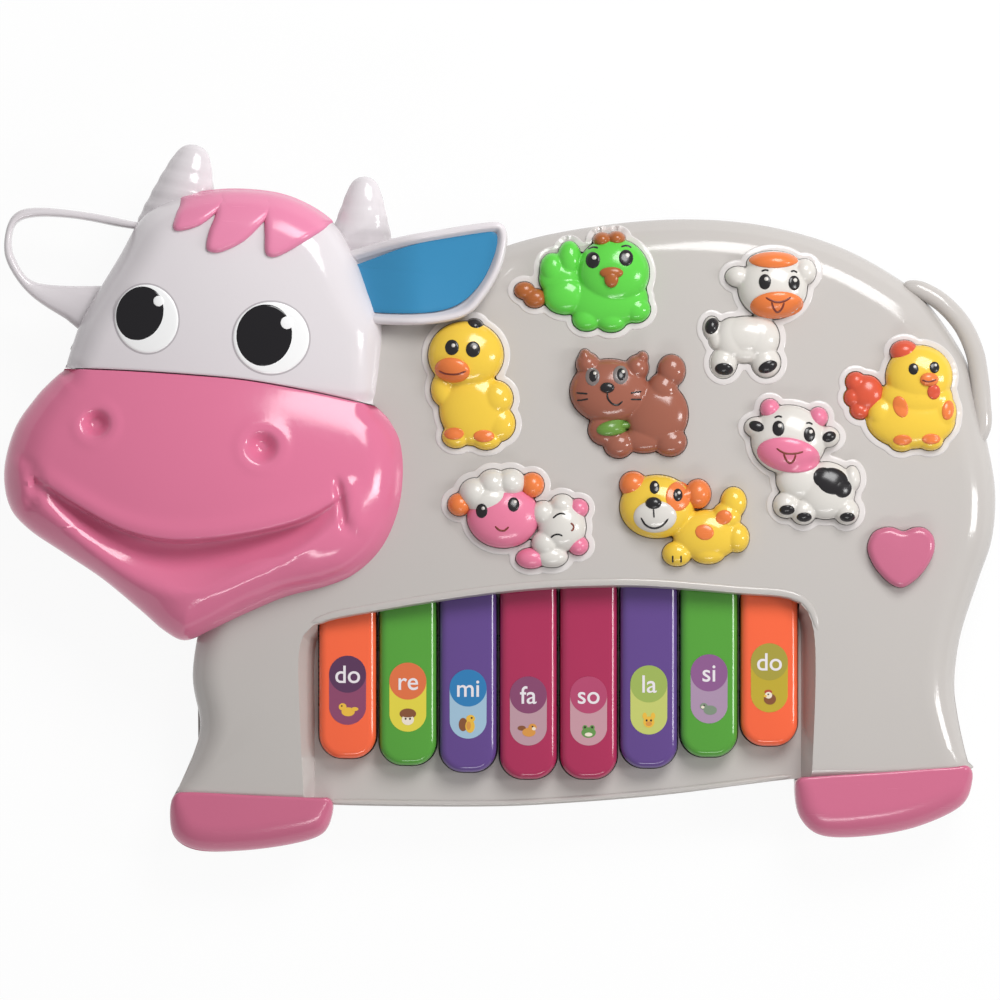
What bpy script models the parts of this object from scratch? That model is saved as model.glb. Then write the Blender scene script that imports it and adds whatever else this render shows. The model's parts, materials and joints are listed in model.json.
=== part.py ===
"""Toy electronic keyboard in the shape of a cow lying on its back shell.

The frame has X along the body from muzzle to tail, Y from the hooves to the horns and Z up
through the keys. The origin is on the table under the middle of the toy.
"""
import math

import bmesh
import bpy
from mathutils import Matrix, Vector

# Overall levels, in metres
MM = 0.001
TABLE = 0.0
FOOT = 2.0 * MM
FLOOR = 2.2 * MM
PARTING = 20.0 * MM
GAP = 0.3 * MM
WALL = 2.4 * MM
HEAD_WALL = 2.6 * MM
MUZZLE_WALL = 6.0 * MM
REAR_INSET = 0.5 * MM
REAR_ROUND = 2.5 * MM
OVERLAP = 3.0 * MM
BLANK_STEP = 0.02 * MM

# Mesh density of the domed shells
ROLL_STEPS = 3
DOME_SHARES = (0.35, 0.68)
BODY_SIDES = 54
HEAD_SIDES = 32
SMALL_SIDES = 24
ROUND_SIDES = 10
LUMP_SIDES = 11
FLAT_ANGLE = 0.005

# Crowns: peak height, centre, and how far the top drops at a reach from the centre
BODY_PEAK = 42.0 * MM
BODY_CENTRE = (25.0 * MM, 0.0)
BODY_REACH = (150.0 * MM, 110.0 * MM)
BODY_DROP = (7.5 * MM, 6.5 * MM)
BODY_ROLL = 12.0 * MM
FACE_PEAK = 55.0 * MM
FACE_CENTRE = (-97.0 * MM, 74.0 * MM)
FACE_REACH = (55.0 * MM, 40.0 * MM)
FACE_DROP = (7.0 * MM, 5.0 * MM)
MUZZLE_PEAK = 59.5 * MM
MUZZLE_CENTRE = (-104.0 * MM, 4.0 * MM)
MUZZLE_REACH = (72.0 * MM, 45.0 * MM)
MUZZLE_DROP = (10.0 * MM, 9.0 * MM)

# Outlines, counter-clockwise, in millimetres, with the radius of the rolled edge at each point
BODY_OUTLINE = (
    (169, -97, 3), (165.5, -82, 10), (164.5, -66, 11), (167, -49, 11), (173.5, -29, 12),
    (178.5, -14, 12), (179.7, 3, 12), (177, 20, 12), (172.5, 38, 12), (169, 51, 12),
    (158, 68, 12), (148, 78, 12), (124, 91.5, 12), (96, 99.5, 12), (66, 101.8, 12),
    (34, 99.1, 12), (3, 92.3, 12), (-30, 78, 12), (-66, 50, 12), (-92, 5, 12),
    (-106, -35, 12), (-111.5, -62, 11), (-108.8, -80, 11), (-112, -94, 10), (-117, -106, 3),
    (-90, -107.8, 3), (-62, -110.5, 4), (-8, -111.2, 5), (24, -109.9, 5), (61, -106.8, 5),
    (106, -101.2, 4), (140, -99.3, 3),
)
FACE_OUTLINE = (
    (-44.5, 34.5, 2), (-43, 50, 8), (-42.8, 63, 12), (-47.5, 76, 14), (-53, 89, 14), (-61, 101, 14),
    (-75, 109.2, 14), (-90, 112, 14), (-106, 111.5, 14), (-121, 107.5, 14), (-130, 101, 14),
    (-137.5, 88, 14), (-146, 74, 13), (-153, 62, 10), (-156.7, 48.2, 2), (-131, 46.8, 2),
    (-91, 43.4, 2),
)
MUZZLE_OUTLINE = (
    (-157, 46.5, 8), (-168, 37, 13), (-175.5, 26, 15), (-179.6, 11, 16), (-177.5, -2, 16),
    (-170.5, -10.5, 16), (-157.5, -19.3, 16), (-144, -28.3, 16), (-131, -39, 15), (-121, -47.6, 14),
    (-113.5, -50.8, 13), (-104, -46.8, 13), (-91, -40.7, 14), (-77, -35, 15), (-62, -31.4, 15),
    (-51.5, -27, 15), (-42, -18, 15), (-36, -5, 15), (-33.6, 9, 15), (-35.2, 21, 14),
    (-40, 30, 11), (-46, 42, 8), (-91, 54, 8), (-131, 57, 8),
)
FRONT_HOOF_OUTLINE = (
    (-61.2, -99, 3), (-60.7, -112, 8), (-64.5, -121, 9), (-76, -125, 10), (-94, -127.3, 10),
    (-110, -127, 10), (-118.2, -122.5, 9), (-119.6, -113, 8), (-117, -99, 3), (-90, -97, 3),
)
REAR_HOOF_OUTLINE = (
    (168.5, -89, 3), (171.3, -101, 8), (167.5, -111, 9), (152, -118.5, 10), (134, -122, 10),
    (117, -121.8, 9), (109, -115.5, 8), (106.9, -104, 6), (109.5, -91, 3), (140, -89, 3),
)
HOOF_RISE = 1.6 * MM

# Face trim
FORELOCK_OUTLINE = (
    (-59, 101), (-68.3, 92.9), (-76.6, 87.9), (-82.8, 86.5), (-84.8, 94), (-83.3, 103),
    (-87, 97.5), (-95, 91.2), (-104.5, 88.5), (-105.5, 93), (-101, 104.8), (-108.4, 98.3),
    (-117.8, 96.6), (-116, 106), (-112.4, 113.5), (-90, 116), (-70, 112.5),
)
FORELOCK_THICK = 2.6 * MM
FORELOCK_FOOT = 38.0 * MM
EYES = {
    "left_eye": (-127.0, 65.1, 11.5, 12.4),
    "right_eye": (-82.2, 58.2, 13.7, 13.0),
}
EYE_PROUD = 0.6 * MM
EYE_SUNK = 1.0 * MM
NOSTRILS = ((-145.7, 27.5, 6.0), (-85.7, 19.2, 6.5))
NOSTRIL_DEPTH = 3.0 * MM
SMILE = ((-172, 14), (-165, 6.5), (-151, -3.5), (-136, -11.5), (-121, -15.5), (-105, -15.5),
         (-87, -12.5), (-72, -8.5), (-60, -2))
SMILE_RADIUS = 3.2 * MM
SMILE_SINK = 0.6 * MM

# Horns: base centre, tip, base half width, level
HORNS = {
    "left_horn": ((-118.5, 98.0), (-110.0, 127.1), 15.5, 34.0),
    "right_horn": ((-56.0, 86.0), (-47.6, 117.2), 12.5, 35.0),
}
HORN_RIBS = 3
HORN_TIP = 3.4 * MM
HORN_GROOVE = 0.9 * MM

# Ears
HANDLE_OUTER = (
    (-120, 98), (-133, 100.9), (-150, 104.2), (-168, 105.8), (-176.3, 103), (-179.4, 94),
    (-178, 85), (-170.4, 74.5), (-158.3, 66.2), (-146, 60), (-125, 72),
)
HANDLE_HOLE = (
    (-120, 94), (-141, 99.4), (-155, 101.9), (-168, 102.4), (-175, 100), (-176.8, 93),
    (-175, 86.5), (-170, 79.8), (-160, 77.7), (-120, 77.7),
)
HANDLE_LEVELS = (25.0 * MM, 35.0 * MM)
EAR_OUTLINE = (
    (-53, 89.5), (-36, 95.3), (-14, 99.1), (-1.4, 100.3), (2.3, 95), (1.6, 84), (-3, 73),
    (-15, 64.7), (-30, 63.2), (-44, 64.5),
)
EAR_INSET_OUTLINE = (
    (-50, 85), (-34.7, 90.2), (-12, 95.6), (-2.6, 96.2), (-1.2, 88.5), (-6.5, 78), (-17, 70.6),
    (-28, 68), (-46, 69),
)
EAR_LEVELS = (41.0 * MM, 49.0 * MM)
EAR_DISH = 5.0 * MM
EAR_INSET_THICK = 1.6 * MM

# Tail, a tapered tube lying against the rump
TAIL_PATH = ((150.2, 79.8), (161.2, 71.6), (169.3, 61.3), (172.6, 49.6), (174.6, 39.7), (176.2, 29.7))
TAIL_RADIUS = 3.3 * MM
TAIL_LEVEL = 26.0 * MM

# Key bed and keys
KEY_COUNT = 8
KEY_MIDDLE = 21.15 * MM
KEY_PITCH = 21.79 * MM
KEY_WIDTH = 20.6 * MM
KEY_FRONT = -101.0 * MM
KEY_STEP_LEFT = 2.5 * MM
KEY_STEP_RIGHT = 4.0 * MM
KEY_TOP = 33.5 * MM
KEY_DEPTH = 11.5 * MM
KEY_SKIN = 2.0 * MM
KEY_EDGE = 1.2 * MM
KEY_CORNER = 8.5 * MM
KEY_CLEAR = 0.8 * MM
BED_FLOOR = 24.3 * MM
BED_OUTLINE = (
    (112, -120), (113.3, -100), (112, -60), (110.8, -42), (104.5, -37.5), (86, -35.8), (54, -33.4),
    (32, -33.4), (10.8, -34.5), (-14, -37.3), (-46, -43), (-64, -48), (-68.7, -54), (-68.7, -80),
    (-68.7, -120),
)
PIVOT_BACK = -28.5 * MM
PIVOT_LEVEL = 27.0 * MM
PIVOT_RADIUS = 2.0 * MM
PIVOT_CLEAR = 0.35 * MM
KEY_HEEL = 4.0 * MM
KEY_HEEL_STEP = 2.5 * MM
POST_THICK = 4.0 * MM
POST_GAP = 1.0 * MM
KEY_PLUNGER_BACK = -62.0 * MM
PLUNGER_RADIUS = 2.2 * MM

# Sound buttons: lumps as centre, half sizes and rise above the shell, in millimetres
ANIMALS = {
    "duck_button": ((-12.3, 52.8, 13.7, 12.5, 8.0), (-9.0, 32.5, 13.7, 14.4, 6.0)),
    "bird_button": ((40.8, 82.3, 13.2, 13.0, 8.0), (38.0, 73.0, 16.0, 11.5, 5.5),
                    (20.5, 79.5, 12.5, 9.0, 5.0)),
    "cat_button": ((39.4, 39.9, 14.5, 13.0, 8.0), (56.0, 30.5, 11.5, 13.0, 5.5),
                   (52.0, 20.8, 14.0, 5.6, 5.0), (61.8, 46.0, 5.0, 5.8, 4.5)),
    "calf_button": ((98.2, 77.7, 13.5, 13.0, 8.0), (89.0, 57.0, 12.0, 9.8, 5.5),
                    (88.0, 50.0, 13.0, 6.0, 5.0)),
    "hen_button": ((152.1, 43.7, 12.0, 12.0, 7.5), (148.0, 28.2, 15.5, 11.0, 5.5),
                   (132.0, 38.5, 7.6, 9.0, 5.0)),
    "cow_button": ((104.1, 21.7, 14.5, 13.5, 8.0), (117.0, 2.0, 11.5, 10.5, 5.5),
                   (106.0, -2.0, 10.0, 6.0, 5.0)),
    "sheep_button": ((1.3, -6.0, 14.0, 12.5, 7.5), (-4.5, 2.5, 12.5, 8.5, 6.5),
                     (22.3, -10.0, 10.0, 10.5, 6.5)),
    "dog_button": ((57.0, -2.1, 14.5, 12.6, 8.0), (75.0, -13.5, 14.0, 11.0, 5.5),
                   (84.4, -1.0, 5.4, 6.0, 4.5)),
}
HEART_OUTLINE = (
    (144.6, -31.2), (153.5, -23.5), (157.0, -16.5), (154.0, -10.4), (148.6, -9.8), (144.6, -13.6),
    (140.6, -9.8), (135.2, -10.4), (132.2, -16.5), (135.7, -23.5),
)
HEART_RISE = 5.0 * MM
HEART_ROLL = 3.0
BUTTON_CLEAR = 0.5 * MM
BUTTON_TRAVEL = 3.0 * MM
FLANGE_REACH = 1.3 * MM
FLANGE_THICK = 1.6 * MM
FLANGE_STEP = 0.2 * MM
FLANGE_DROP = 1.2 * MM

# The flank screw stands clear of the right end of the key bank
FLANK_SCREW_ROOM = 10.19 * MM
FLANK_SCREW_X = round((KEY_MIDDLE + KEY_COUNT * KEY_PITCH / 2 + FLANK_SCREW_ROOM) / MM, 3)

# Circuit boards and rubber contact mats
BOARD_THICK = 1.6 * MM
MAT_THICK = 1.2 * MM
DOME_RADIUS = 4.0 * MM
BUTTON_BOARD_LEVEL = 22.5 * MM
BUTTON_DOME = 3.0 * MM
BUTTON_BOARD_OUTLINE = (
    (160, -26), (160, 42), (110, 68), (60, 82), (18, 82), (-18, 50), (-18, -12), (60, -20),
    (FLANK_SCREW_X - 12.5, -20), (FLANK_SCREW_X + 9.5, -14), (FLANK_SCREW_X + 13.5, -26),
)
BUTTON_MAT_EDGE = 4.0 * MM
KEY_BOARD_LEVEL = 13.0 * MM
KEY_BOARD_END = 11.7 * MM
KEY_BOARD_WIDE = 26.0 * MM
KEY_MAT_EDGE = 6.0 * MM
KEY_PEG_EDGE = 4.0 * MM
KEY_PEG_BACK = 8.0 * MM
KEY_DOME = 6.0 * MM
PEG_RADIUS = 1.3 * MM
PEG_POST_RADIUS = 3.0 * MM
BUTTON_PEGS = ((150, 5), (70, 70), (4, 46), (36, 5))

# Battery box in the back shell, for three AA cells lying side by side
CELL_RADIUS = 7.25 * MM
CELL_LENGTH = 50.5 * MM
CELL_PITCH = 15.2 * MM
CELL_COUNT = 3
BOX_CENTRE = (72.0 * MM, 22.0 * MM)
CELL_END_ROOM = 3.75 * MM
CELL_SIDE_ROOM = 0.4 * MM
BOX_INSIDE = (CELL_LENGTH + 2 * CELL_END_ROOM, CELL_COUNT * CELL_PITCH + 2 * CELL_SIDE_ROOM)
BOX_ROOF = 19.6 * MM
BOX_WALL = 1.8 * MM
CONTACT_THICK = 0.6 * MM
CONTACT_HEIGHT = 10.0 * MM
DOOR_THICK = 1.8 * MM
DOOR_CLEAR = 0.4 * MM
DOOR_EAR = 9.0 * MM
TONGUE_WIDTH = 9.0 * MM
TONGUE_REACH = 3.0 * MM
TONGUE_SPACING = 30.0 * MM

# Loudspeaker behind the head, and the slide switch
SPEAKER_CENTRE = (-108.0 * MM, 12.0 * MM)
SPEAKER_RADIUS = 25.0 * MM
SPEAKER_HEIGHT = 15.0 * MM
GRILLE_SLOTS = 7
GRILLE_PITCH = 5.5 * MM
GRILLE_WIDTH = 2.4 * MM
SWITCH_CENTRE = (-5.0 * MM, 62.0 * MM)
SWITCH_TRAVEL = 4.0 * MM
SWITCH_KNOB = (5.0 * MM, 4.0 * MM)
SWITCH_BODY = (20.0 * MM, 9.0 * MM, 7.0 * MM)

# Screws and their bosses: the shell each one holds, and its place
SCREWS = {
    "front_leg_screw": ("front_housing", (-91.0, -90.0)),
    "rear_leg_screw": ("front_housing", (139.0, -82.0)),
    "flank_screw": ("front_housing", (FLANK_SCREW_X, -27.0)),
    "back_screw": ("front_housing", (65.0, 91.0)),
    "face_screw": ("face_shell", (-64.0, 84.0)),
    "muzzle_screw": ("muzzle", (-151.0, 14.0)),
}
SCREW_HEAD = 2.8 * MM
SCREW_HEAD_HIGH = 2.0 * MM
SCREW_SHANK = 1.3 * MM
SCREW_SLOT = 0.8 * MM
SCREW_LENGTH = 15.0 * MM
SCREW_SEAT = 12.0 * MM
BOSS_RADIUS = 3.8 * MM
WELL_CLEAR = 0.4 * MM
PILOT_CLEAR = 0.3 * MM
FEET = ((-150, 5), (-95, 90), (-90, -118), (140, -112), (165, 10), (40, 92))
FOOT_RADIUS = 6.0 * MM

# Wires
WIRE_RADIUS = 0.9 * MM
LEAD_STAND = 3.0 * MM
LEAD_LEFT = (BOX_CENTRE[0] - BOX_INSIDE[0] / 2 - LEAD_STAND) / MM
LEAD_RIGHT = (BOX_CENTRE[0] + BOX_INSIDE[0] / 2 + LEAD_STAND) / MM
LANE_BACK = (BOX_CENTRE[1] + CELL_PITCH) / MM
LANE_FRONT = (BOX_CENTRE[1] - CELL_PITCH) / MM
WIRES = {
    "battery_lead_red": ((LEAD_LEFT, LANE_BACK, 15.0), (LEAD_LEFT - 2.5, LANE_BACK + 0.8, 15.5),
                         (LEAD_LEFT - 10.0, LANE_BACK + 2.8, 16.0),
                         (LEAD_LEFT - 18.0, LANE_BACK + 4.8, 21.3)),
    "battery_lead_black": ((LEAD_RIGHT, LANE_FRONT, 15.0), (LEAD_RIGHT + 2.5, LANE_FRONT - 0.8, 15.5),
                           (LEAD_RIGHT + 6.0, LANE_FRONT - 2.8, 17.0),
                           (LEAD_RIGHT + 10.0, LANE_FRONT - 6.8, 21.3)),
    "speaker_lead": ((-82.0, 20.0, 12.0), (-60.0, 30.0, 9.0), (-30.0, 36.0, 12.0),
                     (-16.0, 38.0, 21.3)),
    "link_cable": ((30.0, -19.0, 21.3), (30.0, -24.0, 18.5), (30.0, -38.0, 11.8),
                   (30.0, -60.0, 11.8)),
}

# Colours
WHITE = (0.80, 0.79, 0.77)
PINK = (0.72, 0.20, 0.33)
BLUE = (0.05, 0.22, 0.40)
ORANGE = (0.78, 0.13, 0.05)
GREEN = (0.09, 0.28, 0.05)
PURPLE = (0.10, 0.05, 0.18)
MAGENTA = (0.28, 0.03, 0.08)
YELLOW = (0.72, 0.48, 0.06)
LIME = (0.10, 0.50, 0.05)
BROWN = (0.33, 0.12, 0.07)
RUBBER = (0.45, 0.45, 0.43)
BOARD = (0.05, 0.20, 0.07)
STEEL = (0.60, 0.60, 0.62)
BLACK = (0.02, 0.02, 0.02)
RED = (0.55, 0.02, 0.02)
KEY_COLOURS = (ORANGE, GREEN, PURPLE, MAGENTA, MAGENTA, PURPLE, GREEN, ORANGE)
ANIMAL_COLOURS = {
    "duck_button": YELLOW, "bird_button": LIME, "cat_button": BROWN, "calf_button": WHITE,
    "hen_button": YELLOW, "cow_button": WHITE, "sheep_button": PINK, "dog_button": YELLOW,
}

for item in list(bpy.data.objects):
    bpy.data.objects.remove(item)
TOY = bpy.data.collections.new("toy_keyboard")
bpy.context.scene.collection.children.link(TOY)


def material(name, colour, roughness=0.35, metallic=0.0):
    """A plain Principled material, made once for each name."""
    found = bpy.data.materials.get(name)
    if found:
        return found
    made = bpy.data.materials.new(name)
    made.use_nodes = True
    shader = made.node_tree.nodes["Principled BSDF"]
    shader.inputs["Base Color"].default_value = (*colour, 1.0)
    shader.inputs["Roughness"].default_value = roughness
    shader.inputs["Metallic"].default_value = metallic
    return made


def new_object(name, bm):
    """Turn a finished bmesh into an object with its faces pointing out."""
    bmesh.ops.recalc_face_normals(bm, faces=bm.faces)
    mesh = bpy.data.meshes.new(name)
    bm.to_mesh(mesh)
    bm.free()
    made = bpy.data.objects.new(name, mesh)
    TOY.objects.link(made)
    return made


def finish(part, colour, roughness=0.35, metallic=0.0):
    """Merge the flat facets that cuts leave, then give a piece its material and shading."""
    bm = bmesh.new()
    bm.from_mesh(part.data)
    bmesh.ops.dissolve_limit(bm, angle_limit=FLAT_ANGLE, verts=bm.verts, edges=bm.edges)
    bmesh.ops.triangulate(bm, faces=bm.faces)
    bm.to_mesh(part.data)
    bm.free()
    part.data.materials.clear()
    part.data.materials.append(material(part.name, colour, roughness, metallic))
    part.data.shade_smooth()
    part.data.set_sharp_from_angle(angle=math.radians(35))
    return part


def combine(part, other, operation):
    """Join, cut or intersect a piece with another, which is used up."""
    step = part.modifiers.new(operation, "BOOLEAN")
    step.operation = operation
    step.object = other
    bpy.context.view_layer.update()
    evaluated = part.evaluated_get(bpy.context.evaluated_depsgraph_get())
    mesh = bpy.data.meshes.new_from_object(evaluated)
    part.modifiers.remove(step)
    old = part.data
    part.data = mesh
    mesh.name = part.name
    bpy.data.meshes.remove(old)
    bpy.data.objects.remove(other)
    return part


def cut(part, other):
    return combine(part, other, "DIFFERENCE")


def join(part, other):
    return combine(part, other, "UNION")


def smooth_loop(points, count):
    """Points spaced evenly, counter-clockwise, on a closed smooth curve through the given ones."""
    knots = [Vector(point) * MM for point in points]
    dense = []
    fine = 12
    for index in range(len(knots)):
        before, start, end, after = (knots[(index + shift) % len(knots)] for shift in (-1, 0, 1, 2))
        for step in range(fine):
            t = step / fine
            dense.append(0.5 * (2 * start + (end - before) * t
                                + (2 * before - 5 * start + 4 * end - after) * t * t
                                + (3 * start - before - 3 * end + after) * t ** 3))
    lengths = [0.0]
    for index, point in enumerate(dense):
        lengths.append(lengths[-1] + (dense[(index + 1) % len(dense)] - point).length)
    spaced = []
    span = 0
    for index in range(count):
        target = lengths[-1] * index / count
        while lengths[span + 1] < target:
            span += 1
        share = (target - lengths[span]) / (lengths[span + 1] - lengths[span])
        spaced.append(dense[span].lerp(dense[(span + 1) % len(dense)], share))
    area = sum(spaced[index - 1].xy.cross(point.xy) for index, point in enumerate(spaced))
    return spaced if area > 0 else list(reversed(spaced))


def ellipse(x, y, half_x, half_y, count=LUMP_SIDES):
    """A closed ellipse; its sizes are in metres."""
    turns = [2 * math.pi * index / count for index in range(count)]
    return [Vector((x + half_x * math.cos(turn), y + half_y * math.sin(turn))) for turn in turns]


def inset_loop(loop, inset):
    """Move a counter-clockwise loop inwards (or outwards, if negative) along its normals."""
    moved = []
    for index, point in enumerate(loop):
        along = loop[(index + 1) % len(loop)].xy - loop[index - 1].xy
        inward = Vector((-along.y, along.x)).normalized()
        moved.append(point.xy + inward * inset)
    return moved


def raised(name, rings, pole=None):
    """A closed solid from a ring of edges, extruded up through the rings and capped."""
    bm = bmesh.new()
    ring = bmesh.ops.create_circle(bm, segments=len(rings[0]), radius=1.0)["verts"]
    for vertex, place in zip(ring, rings[0]):
        vertex.co = place
    edges = list(bm.edges)
    bmesh.ops.contextual_create(bm, geom=edges)
    for places in rings[1:]:
        grown = bmesh.ops.extrude_edge_only(bm, edges=edges)["geom"]
        new_verts = {item for item in grown if isinstance(item, bmesh.types.BMVert)}
        edges = [item for item in grown if isinstance(item, bmesh.types.BMEdge)]
        edges = [edge for edge in edges if set(edge.verts) <= new_verts]
        upper = []
        for vertex in ring:
            upper.append(next(edge.other_vert(vertex) for edge in vertex.link_edges
                              if edge.other_vert(vertex) in new_verts))
        for vertex, place in zip(upper, places):
            vertex.co = place
        ring = upper
    cap = bmesh.ops.contextual_create(bm, geom=edges)["faces"]
    if pole is not None:
        bmesh.ops.poke(bm, faces=cap)["verts"][0].co = pole
    return new_object(name, bm)


def prism(name, loop, bottom, top, inset=0.0):
    """An upright block with the loop as its plan."""
    edge = inset_loop(loop, inset)
    return raised(name, [[(p.x, p.y, level) for p in edge] for level in (bottom, top)])


def box(name, low, high):
    """A block between two corners."""
    bm = bmesh.new()
    size = [high[axis] - low[axis] for axis in range(3)]
    middle = [(high[axis] + low[axis]) / 2 for axis in range(3)]
    bmesh.ops.create_cube(bm, size=1.0, matrix=Matrix.Translation(middle) @ Matrix.Diagonal((*size, 1.0)))
    return new_object(name, bm)


def rod(name, start, end, radius, sides=ROUND_SIDES):
    """A cylinder between two points."""
    start = Vector(start)
    along = Vector(end) - start
    turn = along.to_track_quat("Z", "Y").to_matrix().to_4x4()
    place = Matrix.Translation(start + along / 2) @ turn
    bm = bmesh.new()
    bmesh.ops.create_cone(bm, cap_ends=True, segments=sides, radius1=radius, radius2=radius,
                          depth=along.length, matrix=place)
    return new_object(name, bm)


def crown_height(x, y, peak, centre, reach, drop):
    """Height of a crowned top, which falls away as a square law from its centre."""
    across = drop[0] * ((x - centre[0]) / reach[0]) ** 2
    along = drop[1] * ((y - centre[1]) / reach[1]) ** 2
    return peak - across - along


def crowned(name, loop, crown, base, inset=0.0):
    """A domed solid: a wall up from the base, a rolled edge, then the crown; loop points carry the roll."""
    peak, centre, reach, drop = crown

    def top(point):
        return crown_height(point.x, point.y, peak, centre, reach, drop) - inset

    edge = inset_loop(loop, inset)
    rolls = []
    for point, knot in zip(edge, loop):
        rolls.append(max(min(knot.z - inset, top(point) - PARTING - WALL), 1.0 * MM))
    rings = [[(p.x, p.y, base) for p in edge]]
    for step in range(ROLL_STEPS + 1):
        turn = 0.5 * math.pi * step / ROLL_STEPS
        ring = []
        for index, point in enumerate(edge):
            roll = rolls[index]
            along = edge[(index + 1) % len(edge)] - edge[index - 1]
            inward = Vector((-along.y, along.x)).normalized()
            place = point + inward * roll * (1 - math.cos(turn))
            ring.append((place.x, place.y, top(place) - roll * (1 - math.sin(turn))))
        rings.append(ring)
    middle = Vector(centre)
    for share in DOME_SHARES:
        ring = []
        for x, y, _ in rings[ROLL_STEPS + 1]:
            place = Vector((x, y)).lerp(middle, share)
            ring.append((place.x, place.y, top(place)))
        rings.append(ring)
    return raised(name, rings, (middle.x, middle.y, top(middle)))


def lump(name, x, y, half_x, half_y, bottom, seat, rise):
    """A domed post with an elliptical plan."""
    rings = [[(p.x, p.y, bottom) for p in ellipse(x, y, half_x, half_y)]]
    for turn in (0.0, 35.0, 65.0):
        share = math.cos(math.radians(turn))
        level = seat + rise * math.sin(math.radians(turn))
        rings.append([(p.x, p.y, level) for p in ellipse(x, y, half_x * share, half_y * share)])
    return raised(name, rings, (x, y, seat + rise))


BODY_CROWN = (BODY_PEAK, BODY_CENTRE, BODY_REACH, BODY_DROP)
FACE_CROWN = (FACE_PEAK, FACE_CENTRE, FACE_REACH, FACE_DROP)
MUZZLE_CROWN = (MUZZLE_PEAK, MUZZLE_CENTRE, MUZZLE_REACH, MUZZLE_DROP)
BODY = smooth_loop(BODY_OUTLINE, BODY_SIDES)
FACE = smooth_loop(FACE_OUTLINE, HEAD_SIDES)
MUZZLE = smooth_loop(MUZZLE_OUTLINE, HEAD_SIDES)
FRONT_HOOF = smooth_loop(FRONT_HOOF_OUTLINE, SMALL_SIDES)
REAR_HOOF = smooth_loop(REAR_HOOF_OUTLINE, SMALL_SIDES)
SKY = 90.0 * MM
SHELL_BASE = PARTING + GAP
FLOOR_TOP = FOOT + FLOOR


def body_surface(x, y):
    """Height of the front housing's outer face, with its rolled edge."""
    roll = BODY_ROLL
    reach = min((Vector((x, y)) - point.xy).length for point in BODY)
    inside = max(roll - reach, 0.0)
    return crown_height(x, y, *BODY_CROWN) - roll + math.sqrt(roll ** 2 - inside ** 2)


def key_centre(index):
    return KEY_MIDDLE + (index - (KEY_COUNT - 1) / 2) * KEY_PITCH


def key_front(index):
    half = KEY_COUNT // 2
    if index < half:
        return KEY_FRONT + (half - 1 - index) * KEY_STEP_LEFT
    return KEY_FRONT + (index - half) * KEY_STEP_RIGHT


def key_board_half():
    """Half the length of the board under the keys."""
    return (KEY_COUNT - 1) * KEY_PITCH / 2 + KEY_BOARD_END


def key_pegs():
    """Where the board under the keys is pegged down."""
    reach = key_board_half() - KEY_PEG_EDGE
    return [(KEY_MIDDLE + side * reach, KEY_PLUNGER_BACK - KEY_PEG_BACK) for side in (-1, 1)]


def key_plan(index, back, grow=0.0):
    """Plan of a key: square at the back, with two rounded corners at the front."""
    half = KEY_WIDTH / 2 + grow
    middle = key_centre(index)
    front = key_front(index) - grow
    back += grow
    corner = KEY_CORNER
    plan = [Vector((middle + half, back)), Vector((middle - half, back))]
    for side, first in ((-1, 180), (1, 270)):
        for step in range(4):
            turn = math.radians(first + 30.0 * step)
            plan.append(Vector((middle + side * (half - corner) + corner * math.cos(turn),
                                front + corner + corner * math.sin(turn))))
    return plan


def build_keys():
    """Eight hollow keys on one steel rod, each with a plunger over its rubber dome."""
    for index in range(KEY_COUNT):
        name = f"key_{index + 1}"
        middle = key_centre(index)
        back = PIVOT_BACK - KEY_HEEL + KEY_SKIN
        plan = key_plan(index, back)
        bottom = KEY_TOP - KEY_DEPTH
        inner = inset_loop(plan, KEY_EDGE)
        key = raised(name, [[(p.x, p.y, bottom) for p in plan],
                            [(p.x, p.y, KEY_TOP - KEY_EDGE) for p in plan],
                            [(p.x, p.y, KEY_TOP) for p in inner]])
        cut(key, prism("hollow", plan, bottom - OVERLAP, KEY_TOP - KEY_SKIN, KEY_SKIN))
        half = (KEY_WIDTH - KEY_SKIN) / 2
        low = (middle - half, back - KEY_SKIN / 2, bottom)
        high = (middle + half, PIVOT_BACK + KEY_HEEL, KEY_TOP - KEY_HEEL_STEP)
        join(key, box("heel", low, high))
        ends = [(middle + side * KEY_WIDTH, PIVOT_BACK, PIVOT_LEVEL) for side in (-1, 1)]
        cut(key, rod("bore", *ends, PIVOT_RADIUS + PIVOT_CLEAR))
        foot = KEY_BOARD_LEVEL + BOARD_THICK + GAP + MAT_THICK + KEY_DOME + GAP
        join(key, rod("plunger", (middle, KEY_PLUNGER_BACK, foot),
                      (middle, KEY_PLUNGER_BACK, KEY_TOP - KEY_SKIN / 2), PLUNGER_RADIUS, 6))
        finish(key, KEY_COLOURS[index])
        place_origin(key, (middle, PIVOT_BACK, PIVOT_LEVEL))


def place_origin(part, place):
    """Put a piece's origin on its joint without moving its surface."""
    part.data.transform(Matrix.Translation(-Vector(place)))
    part.location = place


def flange_level(outline):
    """Top of a button's flange: under the lowest inner face of the shell above it."""
    return min(body_surface(point.x, point.y) for point in outline) - WALL - FLANGE_DROP


def button_plunger(button, x, y, top):
    foot = BUTTON_BOARD_LEVEL + BOARD_THICK + GAP + MAT_THICK + BUTTON_DOME + GAP
    join(button, rod("plunger", (x, y, foot), (x, y, top), PLUNGER_RADIUS, 6))


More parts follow.
